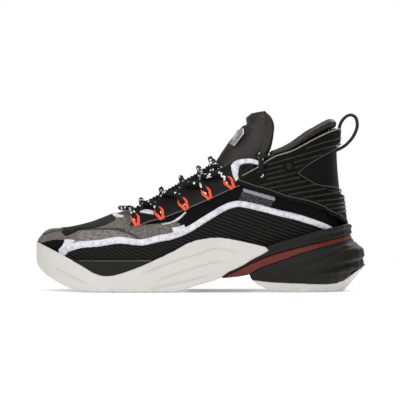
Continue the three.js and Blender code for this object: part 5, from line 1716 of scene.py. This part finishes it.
def puffed(obj, voxel, cap):
    """Blows a padded piece up a little as cloth, and caps how far any point moves."""
    scene = bpy.context.scene
    remesh = obj.modifiers.new("remesh", "REMESH")
    remesh.mode, remesh.voxel_size = "VOXEL", voxel
    settled(obj)
    count = len(obj.data.vertices)
    rest = np.zeros(count * 3)
    obj.data.vertices.foreach_get("co", rest)
    cloth = obj.modifiers.new("cloth", "CLOTH")
    cloth.settings.use_pressure = True
    cloth.settings.uniform_pressure_force = PUFF_PRESSURE
    cloth.settings.effector_weights.gravity = 0
    cloth.settings.quality = 5
    cloth.point_cache.frame_start, cloth.point_cache.frame_end = 1, PUFF_FRAMES
    for number in range(1, PUFF_FRAMES + 1):
        scene.frame_set(number)
    graph = bpy.context.evaluated_depsgraph_get()
    blown = np.zeros(count * 3)
    obj.evaluated_get(graph).data.vertices.foreach_get("co", blown)
    obj.modifiers.remove(cloth)
    scene.frame_set(1)
    move = (blown - rest).reshape(-1, 3)
    far = np.linalg.norm(move, axis=1, keepdims=True)
    move *= np.minimum(1, cap / np.maximum(far, 1e-9))
    obj.data.vertices.foreach_set("co", (rest.reshape(-1, 3) + move).ravel())
    subdivision = obj.modifiers.new("subdivision", "SUBSURF")
    subdivision.levels = subdivision.render_levels = 1
    settled(obj)


def hump(x, middle, width):
    return np.exp(-((x - middle) / width) ** 2)


def make_tongue(sizes, colours):
    rows, cols = 430, 100
    v = np.linspace(0, 1, rows)
    w = np.sin(np.linspace(-math.pi / 2, math.pi / 2, cols)) * 0.35 + np.linspace(-1, 1, cols) * 0.65
    v, w = np.meshgrid(v, w, indexing="ij")
    off = np.abs(w)
    base, normal = tongue_point(v, w), tongue_normal(v, w)
    ridge = arc(tongue_point(v[:, :1], 0.0)[:, 0], 0)[:, None]
    flap = smooth(FLEX - 0.02, FLEX + 0.035, v)
    knit = 1 - smooth(KNIT_END - 0.017, KNIT_END + 0.003, v)
    rib = np.abs(np.sin(math.pi * ridge / (sizes.accordion_pitch / MM) + 0.5 * off))
    # what stands proud of the wall or is pressed into it, in mm
    face = (rib - 0.75) * 1.1 * knit * smooth(0.98, 0.85, off) * smooth(0, 0.02, v)
    face += TONGUE_PUFF * knit * smooth(0.0, 0.08, v) * smooth(1, 0.7, off)
    face -= 0.9 * hump(v, 0.57, 0.006)
    face += flap * 0.4 * np.cos(w * math.pi / 2)
    face -= flap * hump(off, 0.91, 0.02) * smooth(1.0, 0.965, v)
    face += flap * 0.7 * smooth(0.92, 0.945, off)
    face -= 2.4 * hump(v, 0.872, 0.014) * hump(w, 0, 0.5)
    face += 2.2 * (smooth(0.882, 0.91, v) - smooth(0.955, 0.99, v)) * hump(w, 0, 0.6)
    near = ((v - BADGE_SPOT[0]) / 0.062) ** 4 + ((w - BADGE_SPOT[1]) / 0.24) ** 4
    face += 0.6 * hump(near / 2.2, 1, 0.5) * flap - 0.8 * np.exp(-near) * flap
    face += 0.25 * np.sin(v * 37 + w * 3) * np.cos(w * 4.5) * flap
    edge = np.clip((1 - off) * 11, 0, 1)
    end = np.clip(np.minimum(v, 1 - v) / 0.018, 0, 1)
    roll = np.sqrt(np.clip(1 - (1 - edge) ** 2, 0, 1)) * np.sqrt(np.clip(1 - (1 - end) ** 2, 0, 1))
    wall = (TONGUE_WALL + (TONGUE_FLAP_WALL - TONGUE_WALL) * flap) * (1 - 0.55 * off**4)
    middle = base - normal * (wall / 2)[..., None]
    half = wall / 2 * (0.12 + 0.88 * roll)
    outer = middle + normal * (half + face * roll)[..., None]
    inner = middle - normal * (half * (0.98 - 0.03 * flap))[..., None]
    climb = arc(base, 1)
    across = climb - climb[:, cols // 2][:, None]
    uv = np.stack([np.broadcast_to(ridge, climb.shape), across], -1) / PATTERN_SCALE
    made = layered("padded_tongue", placed(outer), placed(inner), uv, marks={"rib": rib * knit})
    finished(made, None, "padding", [tongue_rib_finish(), leather_finish(colours)], "tongue_base", "tongue_top")
    mesh = made.data
    leathered = np.tile((v > KNIT_END).ravel(), 2)
    corner, first = np.zeros(len(mesh.loops), np.int32), np.zeros(len(mesh.polygons), np.int32)
    mesh.loops.foreach_get("vertex_index", corner)
    mesh.polygons.foreach_get("loop_start", first)
    mesh.polygons.foreach_set("material_index", leathered[corner[first]].astype(np.int32))
    start, stop = placed(tongue_point(FLEX - 0.05, 0.0)), placed(tongue_point(FLEX + 0.06, 0.0))
    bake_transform(made)


KEEPER = np.array([[-4.0, -9], [4.0, -9], [5.4, 5.5], [0, 9.6], [-5.4, 5.5]])


def make_badge(sizes, colours):
    v, w = BADGE_SPOT
    core = KEEPER * 0.62 + [0, 0.4]
    out = tongue_normal(v, w)
    up = unit(tongue_point(v + 0.04, w) - tongue_point(v - 0.04, w))
    across = unit(np.cross(up, out))
    up = np.cross(out, across)
    at = tongue_point(v, w) + out * LAYER_GAP
    n = len(KEEPER)
    layers = [(KEEPER, 0.0), (KEEPER, 0.8), (KEEPER * 0.9, 1.25), (core, 1.4), (core * 0.7, 0.95)]
    verts = np.vstack([[at + across * a + up * b + out * h for a, b in ring] for ring, h in layers])
    faces = ring_faces(len(layers), n, poles=False)
    faces += [list(range(n))[::-1], [(len(layers) - 1) * n + k for k in range(n)]]
    badge = mesh_piece("tongue_keeper", placed(verts), faces, shade=False)
    bevel = badge.modifiers.new("bevel", "BEVEL")
    bevel.width, bevel.segments, bevel.limit_method = 0.00025, 2, "ANGLE"
    settled(badge)
    fix_outside(badge.data)
    finished(badge, "tongue_flap", "badge", badge_finish(colours), "tongue_badge")


# ------------------------------------------------------------------ pull loop and stitching
PULL_LINE = [
    [125.6, 146.5], [127.2, 152.5], [131, 157.8], [136.3, 160.2], [141, 157.5], [142.3, 150], [139.2, 141.5],
    [134, 134.8], [128.9, 130.8], [123.4, 128],
]


TAPE_HALF_WIDTH, TAPE_HALF_THICKNESS = 4.5, 1.25


def make_pull_loop(sizes, colours):
    rows, cols = 170, 20
    line = spline(PULL_LINE, np.linspace(0, 1, rows))
    ahead = unit(np.gradient(line, axis=0))
    out = np.stack([-ahead[:, 1], np.zeros(rows), ahead[:, 0]], -1)
    across = np.linspace(-1, 1, cols)
    edge = np.sqrt(np.clip(1 - (1 - np.clip((1 - np.abs(across)) * 6, 0, 1)) ** 2, 0.15, 1))
    rib = 1 + 0.1 * np.cos(across * math.pi * 5)
    centre = np.stack([line[:, 0], np.zeros(rows), line[:, 1]], -1)[:, None]
    centre = centre + np.array([0, TAPE_HALF_WIDTH, 0]) * across[:, None]
    half = TAPE_HALF_THICKNESS * (edge * rib)[None, :, None] * out[:, None]
    run = arc(line, 0)[:, None]
    uv = np.stack(np.broadcast_arrays(run, across[None] * TAPE_HALF_WIDTH), -1) / PATTERN_SCALE
    made = layered("pull_tape", placed(centre + half), placed(centre - half), uv)
    finished(made, None, "webbing", fabric_finish("webbing_finish", rgb(34, 34, 36), 12, 0.7), "pull_loop")
    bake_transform(made)


def both_sides(line):
    return [placed(line * side) for side in (LATERAL, MEDIAL)]


def make_stitching(sizes, colours):
    thread = film_finish("thread_finish", rgb(120, 119, 116), 0.6)
    dark = film_finish("dark_thread_finish", rgb(56, 54, 52), 0.6)
    share = np.linspace(0.02, 0.98, 120)
    foot = seam([[x, z + 1.7] for x, z in EYESTAY_FOOT])(share)
    eyestay = surface(foot[:, 0], foot[:, 1], OVERLAY_OUT + 0.1)
    low = seam([[-133.6, 44.2], [-128, 49.6], [-121, 53.9]])(share)
    strap = surface(low[:, 0], low[:, 1], OVERLAY_OUT - 0.6)
    stitches = lines_object("upper_stitching", [line for pair in zip(both_sides(eyestay), both_sides(strap))
                                                for line in pair])
    stitch_tree().apply(stitches, {
        "Pitch": sizes.stitch_pitch, "Stitch length": sizes.stitch_pitch * 0.72,
        "Thread radius": sizes.thread_radius, "Seed": 7, "Material": dark})
    finished(stitches, "shoe", "lace_cord", dark)
    line = seam(EYESTAY_FOOT)(np.linspace(0.01, 0.93, 140))
    raised = surface(line[:, 0], line[:, 1], OVERLAY_OUT - 0.45)
    corded("eyestay_seam", both_sides(raised), 0.00045, thread, "film")
    edge = surface(np.linspace(3.5, 7.2, 160), 0.995, np.full(160, 1.2))
    wool = solid_fabric_finish("binding_finish", rgb(20, 20, 20), 900)
    corded("throat_binding", both_sides(edge), 0.0017, wool, "knit")


# ------------------------------------------------------------------ operators
def act(context, make):
    make(context.scene.high_top_sizes, context.scene.high_top_colours)
    return {"FINISHED"}


class HIGHTOP_OT_stage(bpy.types.Operator):
    """Sets up the camera, the pale floor and the soft lights"""
    bl_idname = "hightop.stage"
    bl_label = "Stage"

    def execute(self, context):
        make_stage(context.scene)
        return {"FINISHED"}


def piece_operator(make, label, note):
    """An operator class for one group of pieces, named for the function that makes it."""
    key = make.__name__.removeprefix("make_")
    return type(f"HIGHTOP_OT_{key}", (bpy.types.Operator,), {
        "__doc__": note, "bl_idname": f"hightop.{key}", "bl_label": label,
        "execute": lambda self, context: act(context, make)})


PIECES = [piece_operator(*row) for row in (
    (make_lace_ends, "Lace ends", "Hangs the two free ends of the lace, with their tips"),
    (make_rubber, "Rubber", "Moulds the forefoot cup and the heel rubber"),
    (make_carrier, "Midsole", "Moulds the foam carrier, the heel pod and the shank plate"),
    (make_inside, "Inside", "Lines the shoe and lays the footbed"),
    (make_bootie, "Knit", "Knits the inner boot"),
    (make_panels, "Panels", "Fuses the side panels and films on the knit"),
    (make_trim, "Trim", "Lays the crinkled piping and the light patches"),
    (make_shell, "Ankle shell", "Moulds the ribbed ankle shell"),
    (make_studs, "Studs", "Sets the studs and eyelets"),
    (make_collar, "Collar", "Pads the roll on the collar"),
    (make_tongue, "Tongue", "Pads the tongue and its ribbed front"),
    (make_badge, "Keeper", "Puts the faceted keeper on the tongue"),
    (make_loops, "Lace loops", "Sets the ten lace loops"),
    (make_lace, "Lace", "Threads the lace"),
    (make_pull_loop, "Pull tape", "Bends the pull tape behind the heel"),
    (make_stitching, "Stitching", "Sews the seams"),
)]


class HIGHTOP_PT_panel(bpy.types.Panel):
    """The shoe's settings and pieces, in the sidebar"""
    bl_idname = "HIGHTOP_PT_panel"
    bl_label = "High top"
    bl_space_type = "VIEW_3D"
    bl_region_type = "UI"
    bl_category = "High top"

    def draw(self, context):
        layout = self.layout
        for group in (context.scene.high_top_sizes, context.scene.high_top_colours):
            box = layout.box()
            for key in group.__annotations__:
                box.prop(group, key)
        for made in (HIGHTOP_OT_stage, *PIECES):
            layout.operator(made.bl_idname)


CLASSES = (HighTopSizes, HighTopColours, HIGHTOP_OT_stage, *PIECES, HIGHTOP_PT_panel)


def register():
    for made in CLASSES:
        bpy.utils.register_class(made)
    bpy.types.Scene.high_top_sizes = bpy.props.PointerProperty(type=HighTopSizes)
    bpy.types.Scene.high_top_colours = bpy.props.PointerProperty(type=HighTopColours)


def unregister():
    del bpy.types.Scene.high_top_colours
    del bpy.types.Scene.high_top_sizes
    for made in reversed(CLASSES):
        bpy.utils.unregister_class(made)


def main():
    register()
    for made in (HIGHTOP_OT_stage, *PIECES):
        group, key = made.bl_idname.split(".")
        getattr(getattr(bpy.ops, group), key)()


if __name__ == "__main__":
    main()
